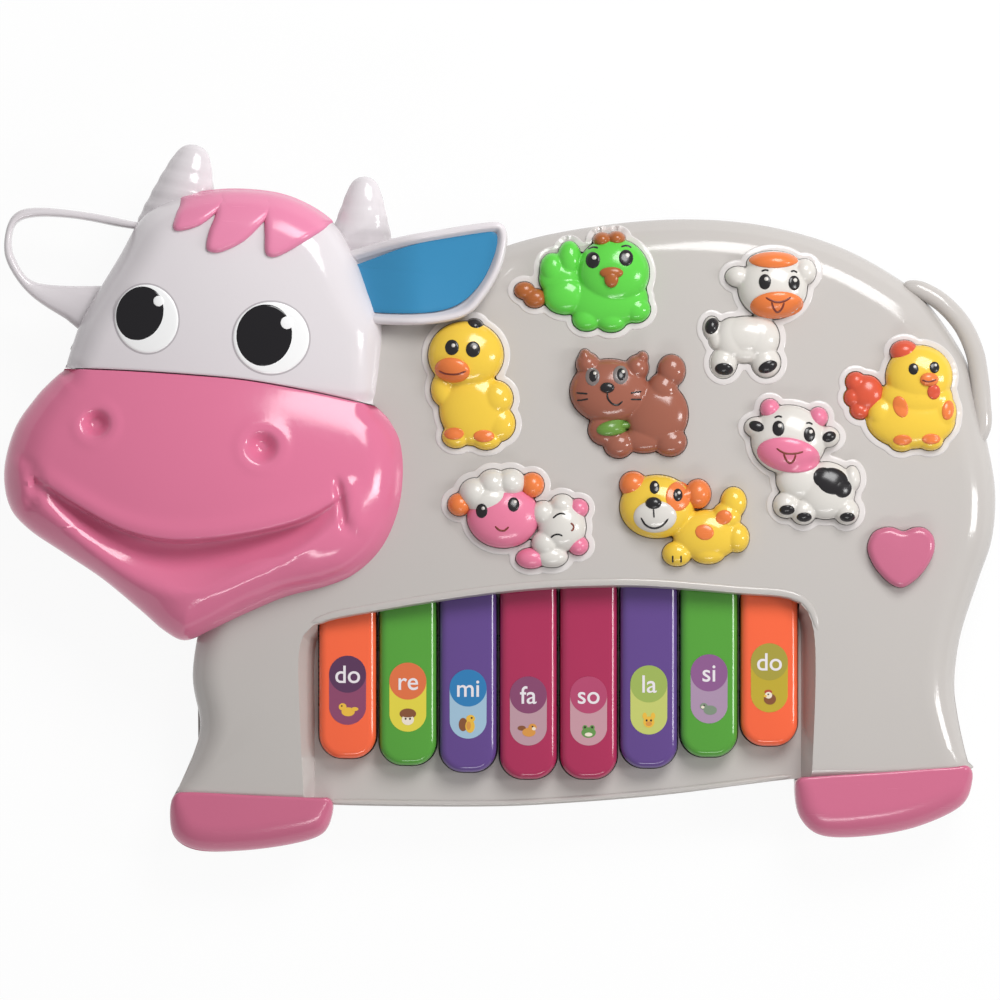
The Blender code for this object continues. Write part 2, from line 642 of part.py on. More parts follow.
def build_buttons(housing):
    """Sound buttons held under the front housing by flanges; returns where their plungers stand."""
    stands = []
    for name, lumps in ANIMALS.items():
        sized = [[value * MM for value in item] for item in lumps]
        x, y, a, b, _ = sized[1]
        outline = ellipse(x, y, a + FLANGE_REACH, b + FLANGE_REACH)
        shelf = flange_level(outline)
        seat = max(body_surface(x, y) for x, y, *_ in sized)
        bottom = shelf - FLANGE_THICK
        button = None
        opening = None
        for index, (x, y, a, b, rise) in enumerate(sized):
            post = lump(name, x, y, a, b, bottom, seat, rise)
            button = join(button, post) if button else post
            high = SKY + index * MM
            hole = prism("opening", ellipse(x, y, a, b), PARTING - index * MM, high, -BUTTON_CLEAR)
            opening = join(opening, hole) if opening else hole
        cut(housing, opening)
        x, y = sized[1][:2]
        join(button, prism("flange", outline, bottom - FLANGE_STEP, shelf))
        button_plunger(button, x, y, shelf)
        button.name = name
        finish(button, ANIMAL_COLOURS[name])
        place_origin(button, (x, y, shelf))
        stands.append((x, y))
    plan = [Vector((p.x, p.y, HEART_ROLL * MM)) for p in smooth_loop(HEART_OUTLINE, SMALL_SIDES + 8)]
    x = sum(p.x for p in plan) / len(plan)
    y = sum(p.y for p in plan) / len(plan)
    outline = inset_loop(plan, -FLANGE_REACH)
    shelf = flange_level(outline)
    seat = body_surface(x, y) + HEART_RISE
    top = inset_loop(plan, HEART_ROLL * MM)
    waist = inset_loop(plan, HEART_ROLL * MM * 0.3)
    bottom = shelf - FLANGE_THICK
    heart = raised("heart_button", [[(p.x, p.y, bottom) for p in plan],
                                    [(p.x, p.y, seat - HEART_ROLL * MM) for p in plan],
                                    [(p.x, p.y, seat - HEART_ROLL * MM * 0.3) for p in waist],
                                    [(p.x, p.y, seat) for p in top]])
    cut(housing, prism("opening", plan, PARTING, SKY, -BUTTON_CLEAR))
    join(heart, prism("flange", plan, bottom - FLANGE_STEP, shelf, -FLANGE_REACH))
    button_plunger(heart, x, y, shelf)
    heart.name = "heart_button"
    finish(heart, PINK)
    place_origin(heart, (x, y, shelf))
    stands.append((x, y))
    return stands


def build_front_housing():
    """The white front of the body: a domed shell with the key bed sunk in it."""
    bed = [Vector(point) * MM for point in BED_OUTLINE]
    housing = crowned("front_housing", BODY, BODY_CROWN, SHELL_BASE)
    cut(housing, prism("bed", bed, BED_FLOOR, SKY))
    inside = crowned("inside", BODY, BODY_CROWN, SHELL_BASE - OVERLAP, WALL)
    cut(inside, prism("bed_wall", bed, BED_FLOOR - WALL, SKY, -WALL))
    cut(housing, inside)
    for loop in (FACE, MUZZLE):
        cut(housing, prism("head_room", loop, PARTING - OVERLAP, SKY, -GAP))
    for index in range(KEY_COUNT):
        cut(housing, prism("key_slot", key_plan(index, PIVOT_BACK + KEY_HEEL, KEY_CLEAR), PARTING - OVERLAP,
                           KEY_TOP + KEY_CLEAR))
    return housing


def add_boss(shell, x, y, top):
    """A screw boss hanging from the inside of a shell, with its pilot hole."""
    join(shell, rod("boss", (x, y, SHELL_BASE), (x, y, top), BOSS_RADIUS))
    deep = SCREW_SEAT + SCREW_LENGTH + GAP
    cut(shell, rod("pilot", (x, y, PARTING - OVERLAP), (x, y, deep), SCREW_SHANK + PILOT_CLEAR, 10))


def build_head():
    """Face, muzzle, forelock, eyes and horns."""
    face = crowned("face_shell", FACE, FACE_CROWN, SHELL_BASE)
    cut(face, crowned("inside", FACE, FACE_CROWN, SHELL_BASE - OVERLAP, HEAD_WALL))
    for name, (x, y, half_x, half_y) in EYES.items():
        loop = ellipse(x * MM, y * MM, half_x * MM, half_y * MM, ROUND_SIDES)
        pocket = prism("pocket", loop, PARTING, SKY, -GAP)
        cut(pocket, crowned("bed", FACE, FACE_CROWN, PARTING - OVERLAP, EYE_SUNK + GAP))
        cut(face, pocket)
        eye = prism(name, loop, PARTING, SKY)
        combine(eye, crowned("skin", FACE, FACE_CROWN, PARTING - OVERLAP, -EYE_PROUD), "INTERSECT")
        cut(eye, crowned("bed", FACE, FACE_CROWN, PARTING - 2 * OVERLAP, EYE_SUNK))
        finish(eye, WHITE)
    hair = prism("forelock", forelock_plan(), FORELOCK_FOOT, SKY)
    combine(hair, crowned("skin", FACE, FACE_CROWN, PARTING, -FORELOCK_THICK), "INTERSECT")
    cut(hair, crowned("bed", FACE, FACE_CROWN, PARTING - OVERLAP, -GAP))
    finish(hair, PINK)

    muzzle = crowned("muzzle", MUZZLE, MUZZLE_CROWN, SHELL_BASE)
    cut(muzzle, crowned("inside", MUZZLE, MUZZLE_CROWN, SHELL_BASE - OVERLAP, MUZZLE_WALL))
    cut(muzzle, prism("face_room", FACE, PARTING - OVERLAP, SKY, -GAP))
    low = (key_centre(0) - KEY_PITCH, PIVOT_BACK - KEY_PITCH, PARTING - OVERLAP)
    high = (key_centre(1) + KEY_WIDTH / 2, PIVOT_BACK + KEY_PITCH / 2, KEY_TOP + KEY_CLEAR)
    cut(muzzle, box("key_room", low, high))
    for x, y, radius in NOSTRILS:
        top = crown_height(x * MM, y * MM, *MUZZLE_CROWN)
        dimple = lump("dimple", x * MM, y * MM, radius * MM, radius * MM, top - NOSTRIL_DEPTH, SKY, MM)
        cut(muzzle, dimple)
    cut(muzzle, build_smile())
    finish(muzzle, PINK)

    for name, (base, tip, half, level) in HORNS.items():
        build_horn(name, base, tip, half * MM, level * MM)
    return face, muzzle


def forelock_plan():
    return [Vector(point) * MM for point in reversed(FORELOCK_OUTLINE)]


def ear_plan():
    return smooth_loop(EAR_OUTLINE, SMALL_SIDES + 8)


def build_smile():
    """The mouth line as a round groove that follows the muzzle's crown."""
    curve = bpy.data.curves.new("smile", "CURVE")
    curve.dimensions = "3D"
    curve.bevel_depth = SMILE_RADIUS
    curve.bevel_resolution = 1
    curve.use_fill_caps = True
    spline = curve.splines.new("POLY")
    spline.points.add(len(SMILE) - 1)
    for knot, (x, y) in zip(spline.points, SMILE):
        top = crown_height(x * MM, y * MM, *MUZZLE_CROWN) - SMILE_SINK
        knot.co = (x * MM, y * MM, top, 1.0)
    return solid_from_curve("smile", curve)


def solid_from_curve(name, curve):
    """A closed mesh from a curve with filled ends."""
    path = bpy.data.objects.new(name, curve)
    TOY.objects.link(path)
    bpy.context.view_layer.update()
    evaluated = path.evaluated_get(bpy.context.evaluated_depsgraph_get())
    mesh = bpy.data.meshes.new_from_object(evaluated)
    bpy.data.objects.remove(path)
    bm = bmesh.new()
    bm.from_mesh(mesh)
    bpy.data.meshes.remove(mesh)
    bmesh.ops.remove_doubles(bm, verts=bm.verts, dist=0.01 * MM)
    return new_object(name, bm)


def build_horn(name, base, tip, half, level):
    """A ribbed horn: rings along its axis, drawn in to a blunt tip, seated on the head's wall."""
    start = Vector((base[0] * MM, base[1] * MM, level))
    end = Vector((tip[0] * MM, tip[1] * MM, level))
    along = end - start
    turn = along.to_track_quat("Z", "Y")
    rings = []
    steps = 2 * HORN_RIBS + 2
    for step in range(steps + 1):
        share = step / steps
        radius = half * (1 - share ** 1.6) + HORN_TIP * share ** 1.6
        if step % 2:
            radius -= HORN_GROOVE
        if step == steps:
            radius *= 0.5
        ring = [start + along * share + turn @ Vector((p.x, p.y, 0.0)) for p in ellipse(0, 0, radius, radius)]
        rings.append(ring)
    horn = raised(name, rings)
    cut(horn, crowned("head", FACE, FACE_CROWN, FOOT, -GAP))
    hair_room = prism("hair_room", forelock_plan(), FORELOCK_FOOT - GAP, SKY, -GAP)
    combine(hair_room, crowned("skin", FACE, FACE_CROWN, PARTING, -FORELOCK_THICK - GAP), "INTERSECT")
    cut(horn, hair_room)
    cut(horn, prism("ear_room", ear_plan(), PARTING, SKY, -GAP))
    keep_largest(horn)
    finish(horn, WHITE)


def keep_largest(part):
    """Drop the loose chips that a cut leaves behind."""
    bm = bmesh.new()
    bm.from_mesh(part.data)
    left = set(bm.verts)
    groups = []
    while left:
        group = set()
        front = [left.pop()]
        while front:
            vertex = front.pop()
            group.add(vertex)
            for edge in vertex.link_edges:
                other = edge.other_vert(vertex)
                if other in left:
                    left.discard(other)
                    front.append(other)
        groups.append(group)
    groups.sort(key=len)
    chips = [vertex for group in groups[:-1] for vertex in group]
    bmesh.ops.delete(bm, geom=chips, context="VERTS")
    bm.to_mesh(part.data)
    bm.free()


def build_ears():
    """The open carrying ear on the left, and the dished ear with its blue inset on the right."""
    low, high = HANDLE_LEVELS
    handle = prism("ear_handle", smooth_loop(HANDLE_OUTER, 2 * SMALL_SIDES), low, high)
    cut(handle, prism("grip_hole", smooth_loop(HANDLE_HOLE, 2 * SMALL_SIDES),
                      low - OVERLAP, high + OVERLAP))
    cut(handle, prism("head", FACE, PARTING, SKY, -GAP))
    keep_largest(handle)
    finish(handle, WHITE)
    low, high = EAR_LEVELS
    plan = ear_plan()
    dish_plan = smooth_loop(EAR_INSET_OUTLINE, SMALL_SIDES)
    ear = raised("right_ear", [[(p.x, p.y, low) for p in inset_loop(plan, 3 * MM)],
                               [(p.x, p.y, low + 3 * MM) for p in plan],
                               [(p.x, p.y, high - MM) for p in plan],
                               [(p.x, p.y, high) for p in inset_loop(plan, MM)]])
    cut(ear, prism("dish", dish_plan, high - EAR_DISH, SKY))
    cut(ear, prism("head", FACE, PARTING, SKY, -GAP))
    keep_largest(ear)
    finish(ear, WHITE)
    floor = high - EAR_DISH + GAP
    inset = prism("ear_inset", dish_plan, floor, floor + EAR_INSET_THICK, GAP)
    cut(inset, prism("head", FACE, PARTING, SKY, -2 * GAP))
    keep_largest(inset)
    finish(inset, BLUE)


def build_hooves():
    """Pink hoof caps that close the ends of the two legs."""
    for name, loop in (("front_hoof", FRONT_HOOF), ("rear_hoof", REAR_HOOF)):
        middle = sum((p.xy for p in loop), Vector((0.0, 0.0))) / len(loop)
        peak = crown_height(middle.x, middle.y, *BODY_CROWN) + HOOF_RISE
        crown = (peak, (middle.x, middle.y), BODY_REACH, BODY_DROP)
        hoof = crowned(name, loop, crown, SHELL_BASE)
        cut(hoof, crowned("inside", loop, crown, SHELL_BASE - OVERLAP, WALL))
        cut(hoof, prism("leg", BODY, PARTING - OVERLAP, SKY, -GAP))
        keep_largest(hoof)
        finish(hoof, PINK)


def build_tail():
    """A tapered tail that lies along the rump."""
    curve = bpy.data.curves.new("tail", "CURVE")
    curve.dimensions = "3D"
    curve.bevel_depth = TAIL_RADIUS
    curve.bevel_resolution = 2
    curve.use_fill_caps = True
    spline = curve.splines.new("POLY")
    spline.points.add(len(TAIL_PATH) - 1)
    for index, (knot, (x, y)) in enumerate(zip(spline.points, TAIL_PATH)):
        knot.co = (x * MM, y * MM, TAIL_LEVEL, 1.0)
        knot.radius = 1.0 - 0.06 * index
    tail = solid_from_curve("tail", curve)
    cut(tail, prism("rump", BODY, FOOT, SKY, -GAP))
    keep_largest(tail)
    finish(tail, WHITE)


def slab(name, loop, inset, bottom, top):
    """A tray blank with a rounded bottom edge."""
    edge = inset_loop(loop, inset)
    under = inset_loop(loop, inset + REAR_ROUND)
    return raised(name, [[(p.x, p.y, bottom) for p in under],
                         [(p.x, p.y, bottom + REAR_ROUND) for p in edge],
                         [(p.x, p.y, top) for p in edge]])


def add_post(housing, x, y, top):
    """A post up from the floor, with a peg through the board it carries."""
    join(housing, rod("post", (x, y, FLOOR_TOP - MM), (x, y, top - GAP), PEG_POST_RADIUS, 10))
    join(housing, rod("peg", (x, y, top - MM), (x, y, top + BOARD_THICK + GAP), PEG_RADIUS, 8))


def build_rear_housing():
    """The back shell: one tray under body, head and hooves, with posts, wells and battery box."""
    housing = None
    inside = None
    for index, loop in enumerate((BODY, FACE, MUZZLE, FRONT_HOOF, REAR_HOOF)):
        rise = index * BLANK_STEP
        outer = slab("rear_housing", loop, REAR_INSET, FOOT + rise, PARTING - rise)
        inner = prism("inside", loop, FLOOR_TOP + rise, PARTING + OVERLAP - rise, REAR_INSET + WALL)
        housing = join(housing, outer) if housing else outer
        inside = join(inside, inner) if inside else inner
    cut(housing, inside)
    for x, y in FEET:
        join(housing, rod("foot", (x * MM, y * MM, TABLE), (x * MM, y * MM, FOOT + MM), FOOT_RADIUS))
    for _, (x, y) in SCREWS.values():
        x, y = x * MM, y * MM
        join(housing, rod("boss", (x, y, FLOOR_TOP - MM), (x, y, PARTING), BOSS_RADIUS + WALL / 2))
        cut(housing, rod("well", (x, y, TABLE), (x, y, SCREW_SEAT - GAP), SCREW_HEAD + WELL_CLEAR, 10))
        cut(housing, rod("hole", (x, y, TABLE), (x, y, SKY), SCREW_SHANK + PILOT_CLEAR, 8))
    for x, y in BUTTON_PEGS:
        add_post(housing, x * MM, y * MM, BUTTON_BOARD_LEVEL)
    for x, y in key_pegs():
        add_post(housing, x, y, KEY_BOARD_LEVEL)
    for x in pivot_posts():
        low = (x - POST_THICK / 2, PIVOT_BACK - 4 * MM, FLOOR_TOP - MM)
        high = (x + POST_THICK / 2, PIVOT_BACK + 4 * MM, PIVOT_LEVEL + 4 * MM)
        join(housing, box("pivot_post", low, high))
        bore = [(x + side * POST_THICK, PIVOT_BACK, PIVOT_LEVEL) for side in (-1, 1)]
        cut(housing, rod("bore", *bore, PIVOT_RADIUS + PIVOT_CLEAR))
    build_battery_box(housing)
    for index in range(GRILLE_SLOTS):
        across = (index - (GRILLE_SLOTS - 1) / 2) * GRILLE_PITCH
        half = math.sqrt((SPEAKER_RADIUS - 5 * MM) ** 2 - across ** 2)
        low = (SPEAKER_CENTRE[0] + across - GRILLE_WIDTH / 2, SPEAKER_CENTRE[1] - half, TABLE)
        high = (SPEAKER_CENTRE[0] + across + GRILLE_WIDTH / 2, SPEAKER_CENTRE[1] + half, FLOOR_TOP + MM)
        cut(housing, box("grille_slot", low, high))
    x, y = SWITCH_CENTRE
    half_x = (SWITCH_KNOB[0] + SWITCH_TRAVEL) / 2 + DOOR_CLEAR
    half_y = SWITCH_KNOB[1] / 2 + DOOR_CLEAR
    low = (x - half_x, y - half_y, TABLE)
    high = (x + half_x, y + half_y, FLOOR_TOP + MM)
    cut(housing, box("switch_slot", low, high))
    finish(housing, WHITE, 0.45)
    return housing


def pivot_posts():
    """Middle of the two posts that carry the ends of the key rod."""
    reach = KEY_PITCH * (KEY_COUNT - 1) / 2 + KEY_WIDTH / 2 + POST_GAP + POST_THICK / 2
    return (KEY_MIDDLE - reach, KEY_MIDDLE + reach)


def door_edges():
    """Plan limits of the battery door: left, right, front and hinge edge."""
    half_x = BOX_INSIDE[0] / 2
    half_y = BOX_INSIDE[1] / 2
    x, y = BOX_CENTRE
    return x - half_x, x + half_x, y - half_y - DOOR_EAR, y + half_y


def build_battery_box(housing):
    """The open box for the cells, the door's opening, and the boss for the door's screw."""
    x, y = BOX_CENTRE
    half_x, half_y = BOX_INSIDE[0] / 2, BOX_INSIDE[1] / 2
    join(housing, box("box", (x - half_x - BOX_WALL, y - half_y - BOX_WALL, FLOOR_TOP - MM),
                      (x + half_x + BOX_WALL, y + half_y + BOX_WALL, BOX_ROOF + BOX_WALL)))
    left, right, front, back = door_edges()
    join(housing, rod("door_boss", (x, front + DOOR_EAR / 2, FLOOR_TOP - MM),
                      (x, front + DOOR_EAR / 2, FLOOR_TOP + 8 * MM), BOSS_RADIUS))
    cut(housing, box("inside", (x - half_x, y - half_y, FLOOR_TOP - MM),
                     (x + half_x, y + half_y, BOX_ROOF)))
    cut(housing, box("opening", (left, y - half_y, TABLE), (right, back, FLOOR_TOP + MM)))
    cut(housing, box("ledge", (left, front, TABLE), (right, y, FOOT + DOOR_THICK + GAP)))
    cut(housing, rod("pilot", (x, front + DOOR_EAR / 2, TABLE),
                     (x, front + DOOR_EAR / 2, FLOOR_TOP + 6.5 * MM), SCREW_SHANK + 0.8 * MM, 10))
    for side in (-1, 1):
        middle = x + side * TONGUE_SPACING / 2
        half = TONGUE_WIDTH / 2 + DOOR_CLEAR
        cut(housing, box("tongue_slot", (middle - half, back - MM, FLOOR_TOP),
                         (middle + half, back + TONGUE_REACH + BOX_WALL, FLOOR_TOP + 6 * MM)))


def build_battery_parts():
    """Door with its two tongues and screw, three cells and four leaf contacts."""
    left, right, front, back = door_edges()
    middle = BOX_CENTRE[0]
    pivot = (middle, back, FOOT)
    door = box("battery_door", (left + DOOR_CLEAR, front + DOOR_CLEAR, FOOT),
               (right - DOOR_CLEAR, back - DOOR_CLEAR, FOOT + DOOR_THICK))
    for side in (-1, 1):
        place = middle + side * TONGUE_SPACING / 2
        half = TONGUE_WIDTH / 2
        join(door, box("web", (place - half, back - 3 * MM, FOOT + MM),
                       (place + half, back - DOOR_CLEAR, FLOOR_TOP + 1.6 * MM)))
        join(door, box("tongue", (place - half, back - 2 * MM, FLOOR_TOP + GAP),
                       (place + half, back + TONGUE_REACH, FLOOR_TOP + 1.6 * MM)))
    hole = (middle, front + DOOR_EAR / 2)
    cut(door, rod("hole", (*hole, TABLE), (*hole, SKY), SCREW_SHANK + PILOT_CLEAR, 10))
    finish(door, WHITE, 0.45)
    place_origin(door, pivot)
    screw = make_screw("door_screw", *hole, FOOT - GAP - SCREW_HEAD_HIGH * 0.6, FLOOR_TOP + 6 * MM, 0.6)
    place_origin(screw, pivot)

    x, y = BOX_CENTRE
    level = FOOT + DOOR_THICK + GAP + CELL_RADIUS
    for index in range(CELL_COUNT):
        lane = y + (index - (CELL_COUNT - 1) / 2) * CELL_PITCH
        side = 1 if index % 2 == 0 else -1
        cell = rod(f"battery_{index + 1}", (x - side * CELL_LENGTH / 2, lane, level),
                   (x + side * (CELL_LENGTH / 2 - 1.5 * MM), lane, level), CELL_RADIUS)
        join(cell, rod("tip", (x, lane, level), (x + side * CELL_LENGTH / 2, lane, level), 2.7 * MM, 10))
        finish(cell, BLACK, 0.4)
    lanes = [y + (index - 1) * CELL_PITCH for index in range(CELL_COUNT)]
    half = CELL_PITCH / 2 - 1.5 * MM
    contacts = {
        "contact_positive": (-1, lanes[2], lanes[2]),
        "contact_left_link": (-1, lanes[0], lanes[1]),
        "contact_right_link": (1, lanes[1], lanes[2]),
        "contact_negative": (1, lanes[0], lanes[0]),
    }
    for name, (side, first, last) in contacts.items():
        wall = x + side * (BOX_INSIDE[0] / 2 - GAP)
        inner = wall - side * CONTACT_THICK
        low, high = sorted((wall, inner))
        plate = box(name, (low, first - half, level - CONTACT_HEIGHT / 2),
                    (high, last + half, level + CONTACT_HEIGHT / 2))
        for lane in {first, last}:
            reach = x + side * (CELL_LENGTH / 2 + GAP)
            low, high = sorted((inner + side * CONTACT_THICK / 2, reach))
            join(plate, box("leaf", (low, lane - 2.5 * MM, level - 2.5 * MM),
                            (high, lane + 2.5 * MM, level + 2.5 * MM)))
        finish(plate, STEEL, 0.3, 1.0)


def make_screw(name, x, y, bottom, top, head_share=1.0):
    """A screw pointing up, with a slot across its head."""
    high = SCREW_HEAD_HIGH * head_share
    screw = rod(name, (x, y, bottom), (x, y, bottom + high), SCREW_HEAD, 10)
    join(screw, rod("shank", (x, y, bottom + high / 2), (x, y, top), SCREW_SHANK, 8))
    cut(screw, box("slot", (x - SCREW_HEAD, y - SCREW_SLOT / 2, bottom - MM),
                   (x + SCREW_HEAD, y + SCREW_SLOT / 2, bottom + high / 2)))
    return finish(screw, STEEL, 0.35, 1.0)


def build_boards(stands):
    """Two circuit boards, each under a rubber sheet of contact domes."""
    plan = [Vector(point) * MM for point in BUTTON_BOARD_OUTLINE]
    level = BUTTON_BOARD_LEVEL
    board = prism("button_board", plan, level, level + BOARD_THICK)
    sheet = level + BOARD_THICK + GAP
    mat = prism("button_contact_mat", plan, sheet, sheet + MAT_THICK, BUTTON_MAT_EDGE)
    for x, y in BUTTON_PEGS:
        for piece in (board, mat):
            cut(piece, rod("hole", (x * MM, y * MM, FOOT), (x * MM, y * MM, SKY), PEG_RADIUS + GAP, 8))
    for x, y in stands:
        add_dome(mat, x, y, sheet + MAT_THICK, BUTTON_DOME)
    finish(board, BOARD, 0.5)
    finish(mat, RUBBER, 0.7)

    half_x, half_y = key_board_half(), KEY_BOARD_WIDE / 2
    level = KEY_BOARD_LEVEL
    low = (KEY_MIDDLE - half_x, KEY_PLUNGER_BACK - half_y, level)
    high = (KEY_MIDDLE + half_x, KEY_PLUNGER_BACK + half_y, level + BOARD_THICK)
    board = box("key_board", low, high)
    for x, y in key_pegs():
        cut(board, rod("hole", (x, y, FOOT), (x, y, SKY), PEG_RADIUS + GAP, 8))
    sheet = level + BOARD_THICK + GAP
    mat = box("key_contact_mat", (low[0] + KEY_MAT_EDGE, low[1] + KEY_MAT_EDGE, sheet),
              (high[0] - KEY_MAT_EDGE, high[1] - KEY_MAT_EDGE, sheet + MAT_THICK))
    for index in range(KEY_COUNT):
        add_dome(mat, key_centre(index), KEY_PLUNGER_BACK, sheet + MAT_THICK, KEY_DOME)
    finish(board, BOARD, 0.5)
    finish(mat, RUBBER, 0.7)


def add_dome(mat, x, y, level, high):
    """One rubber dome on a contact sheet."""
    crest = DOME_RADIUS * 0.7
    rings = [ellipse(x, y, DOME_RADIUS, DOME_RADIUS, 10), ellipse(x, y, crest, crest, 10)]
    levels = (level - MAT_THICK / 2, level + high)
    join(mat, raised("dome", [[(p.x, p.y, z) for p in ring] for ring, z in zip(rings, levels)]))


def build_speaker():
    """A small loudspeaker that faces the grille in the back shell."""
    x, y = SPEAKER_CENTRE
    low = FLOOR_TOP + GAP
    rings = []
    for radius, level in ((SPEAKER_RADIUS, low), (SPEAKER_RADIUS, low + 3 * MM),
                          (SPEAKER_RADIUS * 0.86, low + 3 * MM), (SPEAKER_RADIUS * 0.5, low + 8 * MM),
                          (SPEAKER_RADIUS * 0.5, low + SPEAKER_HEIGHT)):
        rings.append([(p.x, p.y, level) for p in ellipse(x, y, radius, radius, 24)])
    speaker = raised("speaker", rings)
    finish(speaker, BLACK, 0.5)


def build_switch():
    """A slide switch: the body stands over the slot, and the knob reaches through it."""
    x, y = SWITCH_CENTRE
    half_x, half_y, high = SWITCH_BODY[0] / 2, SWITCH_BODY[1] / 2, SWITCH_BODY[2]
    low = FLOOR_TOP + GAP
    body = box("switch_body", (x - half_x, y - half_y, low), (x + half_x, y + half_y, low + high))
    room = (SWITCH_KNOB[0] + SWITCH_TRAVEL) / 2 + 2.5 * MM
    cut(body, box("room", (x - room, y - 3 * MM, low - MM), (x + room, y + 3 * MM, low + 3 * MM)))
    finish(body, STEEL, 0.35, 1.0)
    start = x - SWITCH_TRAVEL / 2
    half_x, half_y = SWITCH_KNOB[0] / 2, SWITCH_KNOB[1] / 2
    knob = box("switch_knob", (start - half_x, y - half_y, FOOT - 1.2 * MM),
               (start + half_x, y + half_y, low + 1.5 * MM))
    join(knob, box("flange", (start - half_x - 2 * MM, y - 2.7 * MM, low),
                   (start + half_x + 2 * MM, y + 2.7 * MM, low + 2.7 * MM)))
    finish(knob, BLACK, 0.5)
    place_origin(knob, (start, y, FLOOR_TOP))


def build_wires():
    """Leads between the boards, the cells and the loudspeaker."""
    for name, route in WIRES.items():
        curve = bpy.data.curves.new(name, "CURVE")
        curve.dimensions = "3D"
        curve.bevel_depth = WIRE_RADIUS
        curve.bevel_resolution = 1
        curve.use_fill_caps = True
        spline = curve.splines.new("POLY")
        spline.points.add(len(route) - 1)
        for knot, place in zip(spline.points, route):
            knot.co = (*(value * MM for value in place), 1.0)
        colour = RED if name.endswith("red") else BLACK
        finish(solid_from_curve(name, curve), colour, 0.5)


rear = build_rear_housing()
front = build_front_housing()
face_piece, muzzle_piece = build_head()
plungers = build_buttons(front)
shells = {"front_housing": front, "face_shell": face_piece, "muzzle": muzzle_piece}
roofs = {"front_housing": BODY_CROWN, "face_shell": FACE_CROWN, "muzzle": MUZZLE_CROWN}
for screw_name, (shell_name, (place_x, place_y)) in SCREWS.items():
    ceiling = crown_height(place_x * MM, place_y * MM, *roofs[shell_name]) - WALL / 2
    add_boss(shells[shell_name], place_x * MM, place_y * MM, ceiling)
    make_screw(screw_name, place_x * MM, place_y * MM, SCREW_SEAT - SCREW_HEAD_HIGH - 2 * GAP,
               SCREW_SEAT + SCREW_LENGTH)
finish(front, WHITE)
finish(face_piece, WHITE)
finish(muzzle_piece, PINK)
build_ears()
build_hooves()
build_tail()
build_keys()
ends_x = pivot_posts()
pivot_reach = POST_THICK / 2
pivot = rod("key_pivot_rod", (ends_x[0] - pivot_reach, PIVOT_BACK, PIVOT_LEVEL),
            (ends_x[1] + pivot_reach, PIVOT_BACK, PIVOT_LEVEL), PIVOT_RADIUS)
finish(pivot, STEEL, 0.25, 1.0)
build_boards(plungers)
build_battery_parts()
build_speaker()
build_switch()
build_wires()
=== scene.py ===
import json
import math

import bmesh
import bpy
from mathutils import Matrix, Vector
from mathutils.bvhtree import BVHTree
from mathutils.kdtree import KDTree

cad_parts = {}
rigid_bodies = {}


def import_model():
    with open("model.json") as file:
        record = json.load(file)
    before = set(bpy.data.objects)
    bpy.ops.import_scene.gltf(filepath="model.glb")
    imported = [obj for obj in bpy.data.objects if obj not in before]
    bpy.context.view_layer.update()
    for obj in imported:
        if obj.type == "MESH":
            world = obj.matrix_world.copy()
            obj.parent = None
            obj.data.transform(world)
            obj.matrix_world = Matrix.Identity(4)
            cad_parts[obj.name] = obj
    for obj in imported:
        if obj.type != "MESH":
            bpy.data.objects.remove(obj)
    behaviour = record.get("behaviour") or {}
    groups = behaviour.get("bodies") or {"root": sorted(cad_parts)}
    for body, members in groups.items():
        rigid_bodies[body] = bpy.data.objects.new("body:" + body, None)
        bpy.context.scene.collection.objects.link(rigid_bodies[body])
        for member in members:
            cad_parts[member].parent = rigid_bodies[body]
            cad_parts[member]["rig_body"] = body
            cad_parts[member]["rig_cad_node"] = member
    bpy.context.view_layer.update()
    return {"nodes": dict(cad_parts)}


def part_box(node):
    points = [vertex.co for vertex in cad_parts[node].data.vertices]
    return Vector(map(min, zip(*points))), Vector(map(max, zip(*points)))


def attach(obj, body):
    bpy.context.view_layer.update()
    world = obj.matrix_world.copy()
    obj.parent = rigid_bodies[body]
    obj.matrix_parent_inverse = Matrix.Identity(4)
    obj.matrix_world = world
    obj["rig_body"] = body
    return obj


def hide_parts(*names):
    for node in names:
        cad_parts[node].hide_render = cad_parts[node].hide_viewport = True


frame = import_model()

# Camera
# The toy lies on its back shell on a table and is seen from straight above,
# from far off through a long lens, so that its sides hardly show.
MM = 0.001
VIEW_WIDTH = 361.45 * MM
VIEW_HEIGHT = 3.0
VIEW_LEVEL = 35.0 * MM


def pick(*pieces):
    """Select these pieces and nothing else; the first one is the one worked on."""
    bpy.ops.object.select_all(action="DESELECT")
    for piece in pieces:
        piece.select_set(True)
    if pieces:
        bpy.context.view_layer.objects.active = pieces[0]


pick()
bpy.ops.object.camera_add(location=(0.0, 0.0, VIEW_HEIGHT), rotation=(0.0, 0.0, 0.0))
camera = bpy.context.object
camera.data.sensor_width = 36.0
camera.data.lens = camera.data.sensor_width * (VIEW_HEIGHT - VIEW_LEVEL) / VIEW_WIDTH
bpy.context.scene.camera = camera

# Back shell
# The tray that the toy lies on, moulded in white plastic with six feet, a battery well and a grille.
# The front shells are screwed down on its rim from below.


def ink(red, green, blue):
    """A colour given as it looks on a screen, from 0 to 255, as the light it sends back."""
    shares = [value / 255.0 for value in (red, green, blue)]
    return [share / 12.92 if share < 0.04045 else ((share + 0.055) / 1.055) ** 2.4 for share in shares]


def wired(tree, kind, sockets, **settings):
    """A new shader node, each of its sockets given a value or fed from another node."""
    node = tree.nodes.new("ShaderNode" + kind)
    for key, value in settings.items():
        setattr(node, key, value)
    for name, value in sockets.items():
        if isinstance(value, bpy.types.NodeSocket):
            tree.links.new(value, node.inputs[name])
        else:
            node.inputs[name].default_value = value
    return node


